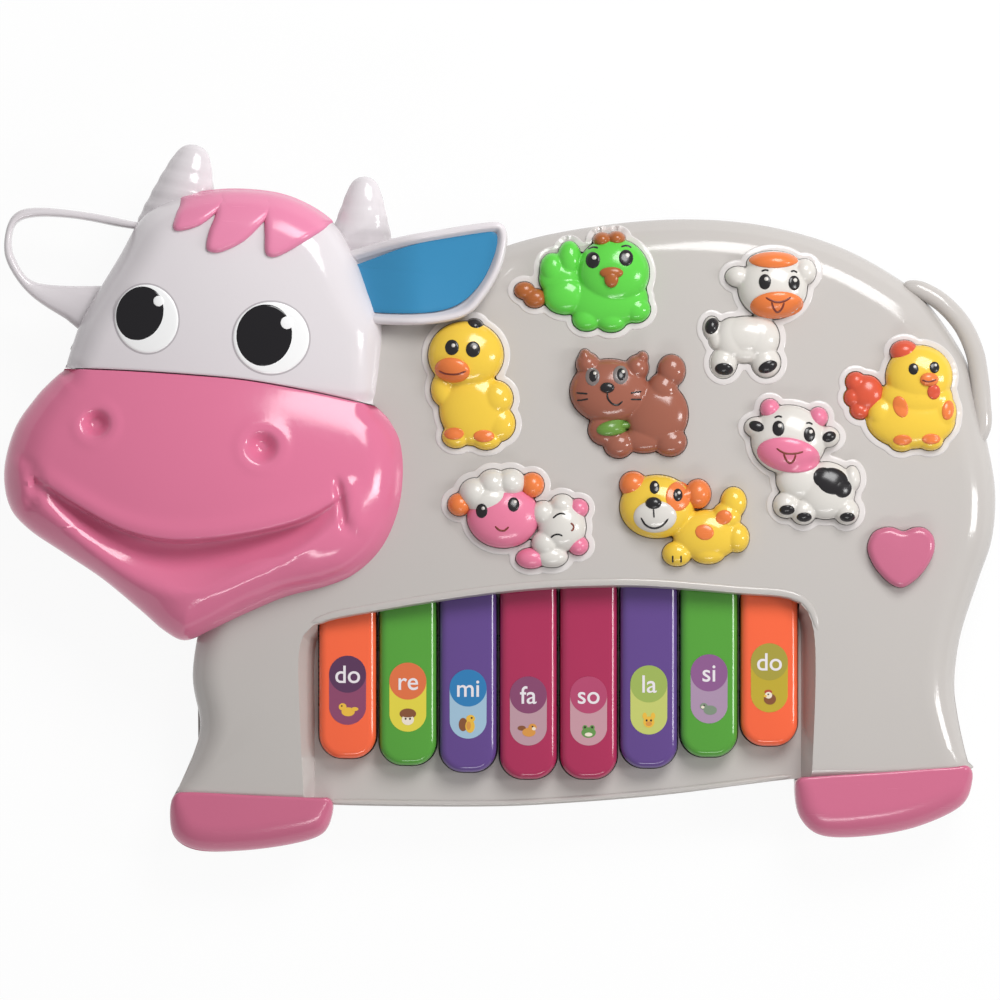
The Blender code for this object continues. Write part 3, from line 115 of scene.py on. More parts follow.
def moulding_group():
    """Slow drift of colour, fine rub marks and the faint orange peel of moulded plastic."""
    group = bpy.data.node_groups.new("moulded_finish", "ShaderNodeTree")
    for name, way, kind in (
        ("Colour", "INPUT", "Color"), ("Drift", "INPUT", "Float"), ("Gloss", "INPUT", "Float"),
        ("Rub", "INPUT", "Float"), ("Colour", "OUTPUT", "Color"), ("Roughness", "OUTPUT", "Float"),
        ("Height", "OUTPUT", "Float"),
    ):
        group.interface.new_socket(name, in_out=way, socket_type="NodeSocket" + kind)
    given = group.nodes.new("NodeGroupInput").outputs
    made = group.nodes.new("NodeGroupOutput").inputs
    place = wired(group, "TexCoord", {}).outputs["Object"]
    slow = wired(group, "TexNoise", {"Vector": place, "Scale": 22.0, "Detail": 3.0})
    peel = wired(group, "TexNoise", {"Vector": place, "Scale": 420.0, "Detail": 2.0})
    stretch = wired(group, "Mapping", {
        "Vector": place, "Rotation": (0.0, 0.0, 0.6), "Scale": (60.0, 1400.0, 60.0),
    })
    rub = wired(group, "TexNoise", {"Vector": stretch.outputs["Vector"], "Scale": 1.0, "Detail": 4.0})
    marks = wired(group, "MapRange", {"Value": rub.outputs["Fac"], "From Min": 0.58, "From Max": 0.75})
    worn = wired(group, "Math", {0: marks.outputs["Result"], 1: given["Rub"]}, operation="MULTIPLY")
    centred = wired(group, "Math", {0: slow.outputs["Fac"], 1: 0.5}, operation="SUBTRACT").outputs["Value"]
    swing = wired(group, "Math", {0: centred, 1: given["Drift"], 2: 1.0}, operation="MULTIPLY_ADD")
    tint = wired(group, "HueSaturation", {"Color": given["Colour"], "Value": swing.outputs["Value"]})
    dull = wired(group, "Math", {0: centred, 1: 0.10, 2: given["Gloss"]}, operation="MULTIPLY_ADD")
    rough = wired(group, "Math", {0: dull.outputs["Value"], 1: worn.outputs["Value"]}, operation="ADD")
    group.links.new(tint.outputs["Color"], made["Colour"])
    group.links.new(rough.outputs["Value"], made["Roughness"])
    group.links.new(peel.outputs["Fac"], made["Height"])
    return group


MOULDED = moulding_group()
PEEL_DEPTH = 0.4 * MM


def plastic(name, colour, drift=0.06, gloss=0.2, rub=0.10, peel=0.05):
    """Moulded plastic of one colour."""
    skin = bpy.data.materials.new(name)
    skin.use_nodes = True
    tree = skin.node_tree
    shader = tree.nodes["Principled BSDF"].inputs
    finish = tree.nodes.new("ShaderNodeGroup")
    finish.node_tree = MOULDED
    for socket, value in (("Colour", (*colour, 1.0)), ("Drift", drift), ("Gloss", gloss), ("Rub", rub)):
        finish.inputs[socket].default_value = value
    bump = wired(tree, "Bump", {"Strength": peel, "Distance": PEEL_DEPTH, "Height": finish.outputs["Height"]})
    tree.links.new(finish.outputs["Colour"], shader["Base Color"])
    tree.links.new(finish.outputs["Roughness"], shader["Roughness"])
    tree.links.new(bump.outputs["Normal"], shader["Normal"])
    return skin


def dress(piece, name, skin, body, nodes=(), angle=35.0):
    """Name a finished piece, give it its finish and hang it on its body."""
    piece.name = name
    piece.data.name = name
    if skin is not None:
        piece.data.materials.clear()
        piece.data.materials.append(skin)
    pick(piece)
    bpy.ops.object.shade_smooth_by_angle(angle=math.radians(angle))
    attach(piece, body)
    if nodes:
        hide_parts(*nodes)
    return piece


WELD = 0.01 * MM


def traced(node):
    """A copy of a moulded solid with its loose triangles merged."""
    pick(frame["nodes"][node])
    bpy.ops.object.duplicate()
    copy = bpy.context.object
    copy.parent = None
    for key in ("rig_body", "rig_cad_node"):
        if key in copy:
            del copy[key]
    bpy.ops.object.mode_set(mode="EDIT")
    bpy.ops.mesh.select_all(action="SELECT")
    bpy.ops.mesh.remove_doubles(threshold=WELD)
    bpy.ops.mesh.tris_convert_to_quads()
    bpy.ops.object.mode_set(mode="OBJECT")
    return copy


def apply_modifier(piece, kind, **settings):
    """Put a modifier on a piece and apply it."""
    pick(piece)
    change = piece.modifiers.new(kind.lower(), kind)
    for key, value in settings.items():
        setattr(change, key, value)
    bpy.ops.object.modifier_apply(modifier=change.name)
    return piece


# The body's white is written darker than the face's white of the same plastic. This is painted shade, for the
# body's top lying less towards the light.
SHELL_WHITE_SHADED = plastic("shell_white_shaded", ink(187, 182, 178), drift=0.03, gloss=0.13, rub=0.06)
BACK_WHITE = plastic("back_white", ink(194, 189, 185), drift=0.03, gloss=0.34, peel=0.12)
back_shell = dress(traced("rear_housing"), "back_shell", BACK_WHITE, "case",
                   ["rear_housing"], angle=25.0)

# Front shell
# The cow's body, one thin white moulding with a domed top and rolled edges. It has a bed cut for the
# keys, an opening for each sound button, a flat collar round six of these, and a bead along the key bed.
PARTING = 20.3
SHELL_WALL = 2.4
BODY_ROLL = 12.0
# A crown: its peak, where that is, how far it reaches and how much it falls by there, along and across
BODY_CROWN = (42.0, 25.0, 0.0, 150.0, 110.0, 7.5, 6.5)
# Round the body: place, and the radius of the rolled edge there
BODY_EDGE = (
    (170.0, -98.0, 2), (169.7, -95.2, 4), (168.2, -89.0, 8), (166.0, -78, 10), (164.8, -66, 11),
    (167, -49, 11), (173.5, -29, 12),
    (178.5, -14, 12), (179.7, 3, 12), (177, 20, 12), (172.5, 38, 12), (169, 51, 12),
    (158, 68, 12), (148, 78, 12), (124, 91.5, 12), (96, 99.5, 12), (66, 101.8, 12),
    (34, 99.1, 12), (3, 92.3, 12), (-30, 78, 12), (-66, 50, 12), (-92, 5, 12),
    (-106, -35, 12), (-111.5, -62, 11), (-108.8, -81, 11), (-111.2, -91.7, 10),
    (-114.4, -99.2, 8), (-116.6, -104.4, 4), (-116.8, -106.6, 2), (-113.6, -107.4, 2), (-90, -107.8, 2),
    (-62, -110.5, 4), (-8, -111.2, 5), (24, -109.9, 5), (61, -106.8, 5),
    (106, -101.2, 4), (140, -99.3, 2),
)
# Where the tray is drawn in under the legs: rows, inner columns and the line between the legs
LEG_FLANKS = (-104.8, -86.0)
LEG_INSIDES = (-109.0, 164.0)
LEG_MIDDLE = 26.0
BED_LEVEL = 24.3
# Round the key bed: place, and how far its wall leans out
BED_EDGE = (
    (109.2, -160, 8), (109.2, -130, 8), (109.2, -100, 8), (109.2, -60, 8), (108.6, -44.2, 6),
    (103.8, -38.0, 4),
    (86, -35.8, 3), (54, -33.4, 3), (32, -33.4, 3), (10.8, -34.5, 3), (-14, -37.3, 3), (-46, -43, 4),
    (-62, -47.4, 6), (-67.0, -54, 9), (-67.2, -80, 10), (-67.2, -100, 10), (-67.2, -130, 10),
    (-67.2, -160, 10),
)
BED_SKY = 46.0
BEAD_WIDTH = 2.6
BEAD_RISE = 0.55
BEAD_START = -50.0
LIP_HALF = 1.0
LIP_RISE = 0.8
FRONT_LIP = ((-63, -109.4), (-8, -110.0), (24, -108.7), (61, -105.6), (106, -100.1))
# The lumps that an animal is moulded from: place, half sizes and rise
BUTTON_LUMPS = {
    "duck": (
        (-12.3, 52.3, 13.7, 12.3, 8.5), (-9.5, 33.0, 12.5, 13.5, 6.0), (-20.6, 40.0, 4.4, 6.2, 4.5),
        (-1.6, 36.6, 6.4, 6.6, 6.0), (-0.4, 27.5, 6.0, 6.5, 4.8), (-15.8, 23.0, 5.2, 4.4, 4.6),
        (-5.0, 22.2, 5.6, 4.2, 4.6), (-9.3, 62.3, 3.5, 3.2, 5.5),
    ),
    "bird": (
        (40.8, 82.0, 13.2, 12.6, 8.5), (38.5, 72.5, 15.0, 10.5, 6.0), (31.3, 65.4, 5.4, 4.6, 5.0),
        (40.1, 64.8, 5.8, 4.4, 5.0), (49.0, 68.8, 5.4, 5.0, 5.0), (23.5, 74.0, 8.2, 7.2, 6.0),
        (25.0, 87.0, 4.4, 6.6, 5.0), (18.9, 83.4, 4.6, 5.8, 5.0), (22.0, 80.0, 8.0, 7.0, 4.6),
        (8.8, 75.6, 3.8, 3.2, 3.8), (12.6, 72.8, 4.2, 3.6, 4.2), (36.8, 93.8, 3.4, 3.0, 6.0),
        (42.0, 94.2, 3.4, 3.0, 6.0),
    ),
    "cat": (
        (39.4, 39.2, 14.3, 11.8, 8.5), (31.6, 49.0, 4.4, 4.4, 6.6), (49.4, 47.6, 4.4, 4.8, 6.6),
        (30.6, 52.0, 2.2, 2.6, 5.6), (51.4, 51.2, 2.2, 2.6, 5.6),
        (56.5, 31.0, 11.5, 12.0, 6.0), (61.8, 46.6, 5.2, 6.0, 5.2), (58.6, 40.0, 5.6, 6.0, 5.4),
        (42.8, 20.0, 5.6, 5.0, 5.4), (61.3, 21.0, 6.2, 5.4, 5.4), (38.4, 25.4, 6.8, 6.0, 5.4),
        (52.0, 21.8, 8.0, 5.0, 4.6),
    ),
    "calf": (
        (98.4, 76.6, 12.6, 11.4, 8.5), (86.0, 80.6, 4.8, 3.8, 5.4), (110.0, 82.4, 4.2, 4.8, 5.4),
        (98.6, 85.4, 9.6, 4.6, 7.0), (84.4, 58.0, 7.4, 8.0, 5.8), (93.4, 58.4, 7.6, 8.2, 6.0),
        (89.0, 59.0, 11.0, 7.4, 6.4),
        (80.6, 49.4, 5.0, 5.6, 5.6), (96.0, 49.6, 5.4, 5.6, 5.6), (88.4, 53.6, 7.0, 4.4, 5.0),
        (76.4, 62.0, 3.2, 4.4, 4.4), (78.4, 58.0, 3.2, 4.0, 4.4),
    ),
    "hen": (
        (151.4, 44.6, 12.2, 11.4, 8.0), (148.4, 29.0, 16.2, 10.6, 6.2), (138.0, 31.4, 5.6, 6.0, 5.4),
        (160.0, 31.8, 5.0, 6.6, 5.4), (132.4, 38.4, 6.2, 6.8, 5.2), (128.4, 42.6, 3.8, 3.8, 4.4),
        (127.6, 37.0, 3.6, 3.6, 4.4), (130.0, 32.4, 3.8, 3.4, 4.4), (146.0, 53.6, 5.2, 4.2, 5.8),
        (145.0, 21.0, 4.8, 3.6, 4.4), (155.4, 21.4, 4.8, 3.6, 4.4), (150.2, 37.0, 13.4, 8.0, 6.8),
    ),
    "cow": (
        (104.1, 21.7, 13.6, 12.6, 8.5), (92.8, 26.2, 4.8, 3.8, 5.4), (118.0, 22.8, 4.6, 3.8, 5.4),
        (97.4, 32.8, 3.6, 3.8, 5.6), (114.8, 29.8, 3.6, 3.8, 5.6), (117.6, 3.4, 10.6, 10.4, 6.2),
        (103.2, -1.8, 4.8, 4.8, 5.4), (109.4, -4.2, 4.8, 4.8, 5.4), (125.0, -4.2, 4.6, 4.8, 5.4),
        (127.0, 7.6, 3.0, 4.8, 4.4), (108.5, 7.5, 9.0, 8.0, 6.0),
    ),
    "sheep": (
        (1.2, -6.0, 13.2, 11.4, 8.0), (-9.0, 2.4, 5.8, 5.6, 7.6), (-2.6, 5.6, 5.8, 5.6, 7.6),
        (3.8, 6.2, 5.6, 5.2, 7.6), (-4.0, 0.0, 9.0, 6.0, 7.8), (-14.6, -1.6, 4.4, 4.2, 5.6),
        (11.6, 5.4, 4.4, 4.6, 5.6), (22.3, -9.6, 8.8, 9.0, 7.0), (15.6, -4.8, 4.8, 4.6, 6.0),
        (16.4, -15.6, 5.2, 5.0, 6.0), (22.4, -2.0, 4.6, 4.2, 6.0), (28.2, -3.0, 3.8, 3.6, 4.8),
        (28.2, -16.4, 3.8, 3.6, 4.8), (11.2, -21.0, 5.6, 3.8, 4.8), (18.6, -20.4, 6.0, 4.0, 5.2),
    ),
    "dog": (
        (56.6, -2.4, 13.5, 11.5, 8.5), (48.0, 5.6, 5.0, 4.8, 6.4), (71.4, 2.2, 4.8, 5.4, 6.4),
        (74.5, -12.6, 12.2, 9.2, 6.0), (84.2, -0.8, 4.8, 5.6, 4.8), (81.6, -6.0, 5.4, 5.4, 5.4),
        (63.8, -19.4, 5.4, 4.6, 5.2), (85.4, -13.6, 4.6, 5.4, 5.2), (75.0, -19.0, 6.4, 4.2, 4.8),
    ),
}
HEART_EDGE = (
    (145.3, -31.6), (150.0, -28.8), (154.2, -24.0), (156.8, -18.2), (156.4, -13.2), (153.4, -10.2),
    (149.6, -9.9), (145.6, -11.2), (141.8, -9.9), (138.0, -10.1), (134.4, -12.2), (132.6, -17.2),
    (134.4, -22.8), (137.8, -27.4), (141.4, -30.5),
)
BUTTON_CLEAR = 0.2
COLLAR_WIDTH = 2.2
COLLAR_RISE = 0.3
COLLAR_STAND = 0.3
OPENING_SKY = 90.0
COLLARED = ("duck", "bird", "calf", "hen", "cow", "sheep")
KEY_COUNT = 8
KEY_MIDDLE = 21.15
KEY_PITCH = 21.79
KEY_WIDTH = 20.6
KEY_CORNER = 8.5
CORNER_STEPS = 10
KEY_CLEAR = 0.5
KEY_BACK = -24.5
KEY_FRONTS = (-93.5, -96.0, -98.5, -101.0, -101.0, -97.0, -93.0, -89.0)


SPAN_PARTS = 24


def flow(points, count, closed=True):
    """A smooth curve through given points, in even steps; any third value flows along with them."""
    dense = []
    last = len(points)
    spans = last if closed else last - 1
    for span in range(spans):
        ends = []
        for step in (-1, 0, 1, 2):
            index = (span + step) % last if closed else min(max(span + step, 0), last - 1)
            ends.append(points[index])
        for part in range(SPAN_PARTS):
            t = part / SPAN_PARTS
            weights = (-0.5 * t + t * t - 0.5 * t ** 3, 1.0 - 2.5 * t * t + 1.5 * t ** 3,
                       0.5 * t + 2.0 * t * t - 1.5 * t ** 3, -0.5 * t * t + 0.5 * t ** 3)
            dense.append([sum(w * value for w, value in zip(weights, values)) for values in zip(*ends)])
    dense.append(list(points[0] if closed else points[-1]))
    travelled = [0.0]
    for before, after in zip(dense, dense[1:]):
        travelled.append(travelled[-1] + math.dist(before[:2], after[:2]))
    spaced = []
    place = 0
    for step in range(count):
        target = travelled[-1] * step / (count if closed else count - 1)
        while place < len(dense) - 2 and travelled[place + 1] < target:
            place += 1
        share = (target - travelled[place]) / max(travelled[place + 1] - travelled[place], 1e-9)
        spaced.append([a + (b - a) * share for a, b in zip(dense[place], dense[place + 1])])
    if closed:
        turned = sum(a[0] * b[1] - a[1] * b[0] for a, b in zip(spaced, spaced[1:] + spaced[:1]))
        if turned < 0:
            spaced.reverse()
    return spaced


def pulled_in(loop, inset):
    """A counter-clockwise loop moved inwards, or outwards where the inset is negative."""
    moved = []
    for index, point in enumerate(loop):
        ahead = loop[(index + 1) % len(loop)]
        behind = loop[index - 1]
        along = Vector((ahead[0] - behind[0], ahead[1] - behind[1])).normalized()
        depth = inset[index] if isinstance(inset, (list, tuple)) else inset
        moved.append([point[0] - along.y * depth, point[1] + along.x * depth] + list(point[2:]))
    return moved


def crown(x, y, shape):
    """Height of a domed top, falling away from its centre."""
    peak, middle_x, middle_y, reach_x, reach_y, drop_x, drop_y = shape
    return peak - drop_x * ((x - middle_x) / reach_x) ** 2 - drop_y * ((y - middle_y) / reach_y) ** 2


def body_top(x, y):
    return crown(x, y, BODY_CROWN)


def stacked(rings, pole=None):
    """A disc drawn up ring by ring into a closed solid; places are in millimetres."""
    pick()
    bpy.ops.mesh.primitive_circle_add(vertices=len(rings[0]), radius=1.0, fill_type="NGON")
    piece = bpy.context.object
    step = piece.data.attributes.new("step", "INT", "POINT")
    step.data.foreach_set("value", range(len(rings[0])))
    for vertex, place in zip(piece.data.vertices, rings[0]):
        vertex.co = [value * MM for value in place]
    bpy.ops.object.mode_set(mode="EDIT")
    bpy.ops.mesh.select_all(action="SELECT")
    for ring in rings[1:]:
        bpy.ops.mesh.extrude_region_move()
        bm = bmesh.from_edit_mesh(piece.data)
        layer = bm.verts.layers.int["step"]
        for vertex in bm.verts:
            if vertex.select:
                vertex.co = [value * MM for value in ring[vertex[layer]]]
        bmesh.update_edit_mesh(piece.data)
    if pole is not None:
        bpy.ops.mesh.poke()
        bm = bmesh.from_edit_mesh(piece.data)
        hub = max((vertex for vertex in bm.verts if vertex.select), key=lambda vertex: len(vertex.link_edges))
        hub.co = [value * MM for value in pole]
        bmesh.update_edit_mesh(piece.data)
    bpy.ops.mesh.select_all(action="SELECT")
    bpy.ops.mesh.normals_make_consistent(inside=False)
    bpy.ops.object.mode_set(mode="OBJECT")
    piece.data.attributes.remove(piece.data.attributes["step"])
    return piece


ROLL_RINGS = (0.05, 0.15, 0.35, 0.7, 1.2, 1.9, 2.8, 4.0, 5.5, 7.4, 9.6, 12.0, 14.5, 17.0)
LEAST_ROLL = 0.8
LAST_RING = 0.97


def rolled(loop, sink=0.0):
    """How far a rolled edge falls below the crown at a place, from its distance to the loop."""
    dense = pulled_in(flow(loop, 4 * len(loop)), sink)
    tree = KDTree(len(dense))
    for index, point in enumerate(dense):
        tree.insert((point[0], point[1], 0.0), index)
    tree.balance()

    def drop(x, y):
        most = 0.0
        for _, index, away in tree.find_range((x, y, 0.0), ROLL_RINGS[-1]):
            roll = max(dense[index][2] - sink, LEAST_ROLL)
            if away < roll:
                most = max(most, roll - math.sqrt(roll ** 2 - (roll - away) ** 2))
        return most

    return drop


def domed(loop, top, middle, foot, sink=0.0, inner=8):
    """A wall up from the foot, an edge rolled over by the radius that the loop carries, then the crown."""
    drop = rolled(loop, sink)
    edge = pulled_in(loop, sink)
    rings = [[(x, y, foot) for x, y, _ in edge]]
    rings.append([(x, y, top(x, y) - sink - max(roll - sink, LEAST_ROLL)) for x, y, roll in edge])
    spans = [math.dist(point[:2], middle) for point in edge]
    for step in range(len(ROLL_RINGS) + inner):
        ring = []
        for (x, y, _), span in zip(edge, spans):
            last = ROLL_RINGS[-1] / max(span, 2.0 * ROLL_RINGS[-1])
            if step < len(ROLL_RINGS):
                share = last * ROLL_RINGS[step] / ROLL_RINGS[-1]
            else:
                share = last + (LAST_RING - last) * (step - len(ROLL_RINGS) + 1) / inner
            place_x = x + (middle[0] - x) * share
            place_y = y + (middle[1] - y) * share
            ring.append((place_x, place_y, top(place_x, place_y) - sink - drop(place_x, place_y)))
        rings.append(ring)
    return stacked(rings, (*middle, top(*middle) - sink))


def upright(loop, low, high):
    """A block with the loop as its plan."""
    return stacked([[(point[0], point[1], level) for point in loop] for level in (low, high)])


def carve(piece, tool, operation="DIFFERENCE"):
    """Cut one solid with another, or add it, and throw the tool away."""
    apply_modifier(piece, "BOOLEAN", operation=operation, solver="EXACT", object=tool)
    bpy.data.objects.remove(tool)
    return piece


def inside_oval(x, y, oval, grow=0.0):
    return ((x - oval[0]) / (oval[2] + grow)) ** 2 + ((y - oval[1]) / (oval[3] + grow)) ** 2


OVAL_STEPS = 120
WIDEST_STEP = 6.0


def joined_outline(ovals, grow, count):
    """The outer edge of overlapping ovals, walked round as one loop."""
    loose = []
    for oval in ovals:
        for step in range(OVAL_STEPS):
            turn = 2.0 * math.pi * step / OVAL_STEPS
            x = oval[0] + (oval[2] + grow) * math.cos(turn)
            y = oval[1] + (oval[3] + grow) * math.sin(turn)
            if all(other is oval or inside_oval(x, y, other, grow) >= 1.0 for other in ovals):
                loose.append((x, y))
    walk = [loose.pop()]
    while loose:
        nearest = min(range(len(loose)), key=lambda index: math.dist(loose[index], walk[-1]))
        if math.dist(loose[nearest], walk[-1]) > WIDEST_STEP:
            break
        walk.append(loose.pop(nearest))
    return flow(walk[::2], count)


def key_middle(index):
    return KEY_MIDDLE + (index - (KEY_COUNT - 1) / 2) * KEY_PITCH


def key_plan(index, grow=0.0):
    """Plan of a key, square at the back with two round corners at the front."""
    middle = key_middle(index)
    wide = KEY_WIDTH / 2 + grow
    front = KEY_FRONTS[index] - grow
    corner = KEY_CORNER + grow
    plan = [(middle + wide, KEY_BACK + grow), (middle - wide, KEY_BACK + grow)]
    for side in (-1, 1):
        for step in range(CORNER_STEPS + 1):
            turn = 0.5 * math.pi * step / CORNER_STEPS
            share = turn if side < 0 else 0.5 * math.pi - turn
            plan.append((middle + side * (wide - corner + corner * math.cos(share)),
                         front + corner - corner * math.sin(share)))
    return plan


def reshaped(place):
    """Move every point of the new primitive to its place, and turn its faces outwards."""
    piece = bpy.context.object
    for vertex in piece.data.vertices:
        vertex.co = [value * MM for value in place(*vertex.co)]
    bpy.ops.object.mode_set(mode="EDIT")
    bpy.ops.mesh.select_all(action="SELECT")
    bpy.ops.mesh.normals_make_consistent(inside=False)
    bpy.ops.object.mode_set(mode="OBJECT")
    return piece


ROUTE_STEPS = 200


def swept(path, half_width, half_height, ground=None, steps=40, sides=12, blunt=24, sink=0.3):
    """A round-ended bar along a path, lying on a ground where one is given."""
    route = flow(path, ROUTE_STEPS, closed=False)
    last = ROUTE_STEPS - 1
    pick()
    bpy.ops.mesh.primitive_uv_sphere_add(segments=sides, ring_count=steps, radius=1.0)

    def place(x, y, z):
        share = math.acos(max(-1.0, min(1.0, z))) / math.pi
        at = min(int(round(share * last)), last)
        point = route[at]
        ahead = route[min(at + 1, last)]
        behind = route[max(at - 1, 0)]
        along = Vector((ahead[0] - behind[0], ahead[1] - behind[1])).normalized()
        turn = math.atan2(y, x)
        ends = math.sqrt(max(0.0, 1.0 - abs(2.0 * share - 1.0) ** blunt))
        side = half_width(share) * ends * math.cos(turn)
        lift = half_height(share) * ends * math.sin(turn)
        place_x = point[0] - along.y * side
        place_y = point[1] + along.x * side
        if ground is None:
            return place_x, place_y, point[2] + lift
        return place_x, place_y, ground(place_x, place_y) + max(lift, -sink)

    return reshaped(place)


def shell_top(x, y):
    """Height of the front shell's outer face, rolled edge and all."""
    reach = min(math.hypot(x - point[0], y - point[1]) for point in body_loop)
    short = max(BODY_ROLL - reach, 0.0)
    return body_top(x, y) - BODY_ROLL + math.sqrt(BODY_ROLL ** 2 - short ** 2)


def collar(name, opening, outer):
    """The flat rim round a button's opening, which stands proud where the shell falls away."""
    falls = [shell_top(point[0], point[1]) for point in outer]
    level = sum(falls) / len(falls)
    tops = [fall + COLLAR_RISE + COLLAR_STAND * max(level - fall, 0.0) for fall in falls]
    rings = [[(point[0], point[1], min(falls) - 1.0) for point in outer]]
    for inset, drop in ((0.0, 0.5), (0.18, 0.14), (0.5, 0.0), (COLLAR_WIDTH + 0.8, 0.0)):
        rings.append([(point[0], point[1], top - drop) for point, top in zip(pulled_in(outer, inset), tops)])
    rim = carve(stacked(rings), upright(opening, 0.0, OPENING_SKY))
    return dress(rim, name, COLLAR_WHITE_LIT, "case", angle=40.0)


# The collars are a lighter white than the shell moulding they belong to. This is a painted highlight, for the
# light their thin raised rims catch.
COLLAR_WHITE_LIT = plastic("collar_white_lit", ink(212, 207, 205), drift=0.03, gloss=0.14, rub=0.06)
body_loop = flow(BODY_EDGE, 280)
front_shell = domed(body_loop, body_top, BODY_CROWN[1:3], PARTING)
bed_loop = flow(BED_EDGE, 200)
for vertex in back_shell.data.vertices:
    x, y = vertex.co.x / MM, vertex.co.y / MM
    if LEG_FLANKS[0] < y < LEG_FLANKS[1] and not LEG_INSIDES[0] < x < LEG_INSIDES[1]:
        nearest = min(body_loop, key=lambda point: math.dist(point[:2], (x, y)))
        if abs(x - LEG_MIDDLE) > abs(nearest[0] - LEG_MIDDLE):
            vertex.co.x = nearest[0] * MM
            vertex.co.y = nearest[1] * MM
apply_modifier(back_shell, "WEIGHTED_NORMAL", mode="FACE_AREA", weight=100, keep_sharp=True)


def leaning(loop, low, high):
    """A block with the loop as its plan at the bed, and walls that lean out by what the loop carries."""
    rings = [[(x, y, low) for x, y, _ in loop]]
    if low < BED_LEVEL:
        rings.append([(x, y, BED_LEVEL) for x, y, _ in loop])
    rings.append([(x, y, high) for x, y, _ in pulled_in(loop, [-lean for _, _, lean in loop])])
    return stacked(rings)


hollow = domed(body_loop, body_top, BODY_CROWN[1:3], PARTING - 1.0, sink=SHELL_WALL)
carve(hollow, leaning(pulled_in(bed_loop, -SHELL_WALL), 0.0, BED_SKY))
carve(front_shell, hollow)
carve(front_shell, leaning(bed_loop, BED_LEVEL, BED_SKY))
for index in range(KEY_COUNT):
    carve(front_shell, upright(key_plan(index, KEY_CLEAR), 0.0, BED_LEVEL + 12.0))
openings = {name: joined_outline(lumps, BUTTON_CLEAR, 160) for name, lumps in BUTTON_LUMPS.items()}
openings["heart"] = pulled_in(flow(HEART_EDGE, 64), -BUTTON_CLEAR)
for name, loop in openings.items():
    carve(front_shell, upright(loop, 0.0, OPENING_SKY))
dress(front_shell, "front_shell", SHELL_WHITE_SHADED, "case", ["front_housing"], angle=32.0)
for name in COLLARED:
    outer = joined_outline(BUTTON_LUMPS[name], BUTTON_CLEAR + COLLAR_WIDTH, 200)
    collar(name + "_collar", openings[name], outer)
bead_path = []
for index, (x, y, lean) in enumerate(bed_loop):
    if y > BEAD_START:
        risen = lean * (body_top(x, y) - BED_LEVEL) / (BED_SKY - BED_LEVEL)
        bead_path.append(pulled_in(bed_loop, -risen - 0.5 * BEAD_WIDTH)[index])
bead = swept(bead_path, lambda share: BEAD_WIDTH / 2, lambda share: BEAD_RISE, ground=shell_top,
             steps=120, sides=16)
dress(bead, "key_bed_bead", SHELL_WHITE_SHADED, "case")
lip = swept(FRONT_LIP, lambda share: LIP_HALF, lambda share: LIP_RISE, ground=lambda x, y: BED_LEVEL,
            steps=90, sides=16)
dress(lip, "bed_front_lip", SHELL_WHITE_SHADED, "case")

# Head
# The face is a white cap screwed over the front of the body, and the pink muzzle is a separate, higher
# moulding plugged in below it, with a wide smile pressed in and two nostril dimples.
FACE_CROWN = (55.0, -97.0, 74.0, 55.0, 40.0, 7.0, 5.0)
SEAM = (
    (-156.7, 47.7), (-155.2, 47.65), (-151.5, 47.5), (-145.0, 47.25), (-131.1, 46.6), (-111.0, 45.2),
    (-91.2, 43.3), (-68.0, 39.2), (-55.0, 36.4), (-49.2, 35.1), (-46.4, 34.45), (-45.0, 34.1),
)
FACE_EDGE = (
    (-44.7, 35.4, 9), (-44.3, 37.6, 9), (-43.7, 42, 10), (-43, 50, 11), (-42.8, 63, 12), (-47.5, 76, 14),
    (-53, 89, 14), (-61, 101, 14),
    (-75, 109.2, 14), (-90, 112, 14), (-106, 111.5, 14), (-121, 107.5, 14), (-130, 101, 14),
    (-137.5, 88, 14), (-146, 74, 13), (-151.6, 64, 12), (-155, 54.5, 11), (-156.2, 50.6, 10),
    (-156.6, 48.9, 10),
)
MUZZLE_CROWN = (59.0, -104.0, 4.0, 72.0, 45.0, 10.0, 9.0)
MUZZLE_EDGE = (
    (-157.8, 46.7, 10), (-159.6, 45.4, 10), (-163.4, 42.0, 12), (-168, 37, 13), (-175.5, 26, 15),
    (-179.4, 11, 16), (-177.5, -2, 16),
    (-170.5, -10.5, 16), (-157.5, -19.3, 16), (-144, -28.3, 16), (-131, -39, 15), (-121, -47.6, 13),
    (-113.5, -50.8, 12), (-104, -46.8, 12), (-91, -40.7, 14), (-77, -35, 15), (-62, -31.4, 15),
    (-51.5, -27, 15), (-42, -18, 15), (-36, -5, 15), (-33.8, 9, 15), (-35.2, 21, 13),
    (-39.4, 28.6, 11), (-42.2, 31.6, 10), (-44.0, 33.1, 9),
)
SEAM_GAP = 0.35
SEAM_ROLL = 0.6
NOSTRILS = ((-145.2, 27.5, 6.4), (-85.4, 19.0, 7.0))
NOSTRIL_DEPTH = 4.2
LIP_LINE = ((-178, 20), (-171.7, 13.5), (-166, 7.5), (-151.1, -2.2), (-136.3, -10.1), (-121.3, -14.1),
            (-105.5, -14.1), (-86.7, -11.2), (-71.6, -7.2), (-60.7, -1.3), (-52, 6))
# Along the smile: place, how deep it is pressed in, and how far below the lip the lower ridge runs
MOUTH = (
    (-178, 0.0, 8.0), (-170, 0.6, 8.0), (-160, 4.6, 9.5), (-146, 8.6, 13.0), (-128, 10.6, 17.0),
    (-107, 10.8, 18.0), (-88, 9.2, 14.0), (-74, 7.0, 11.0), (-62, 3.4, 9.5), (-56, 0.4, 9.0), (-50, 0.0, 9.0),
)
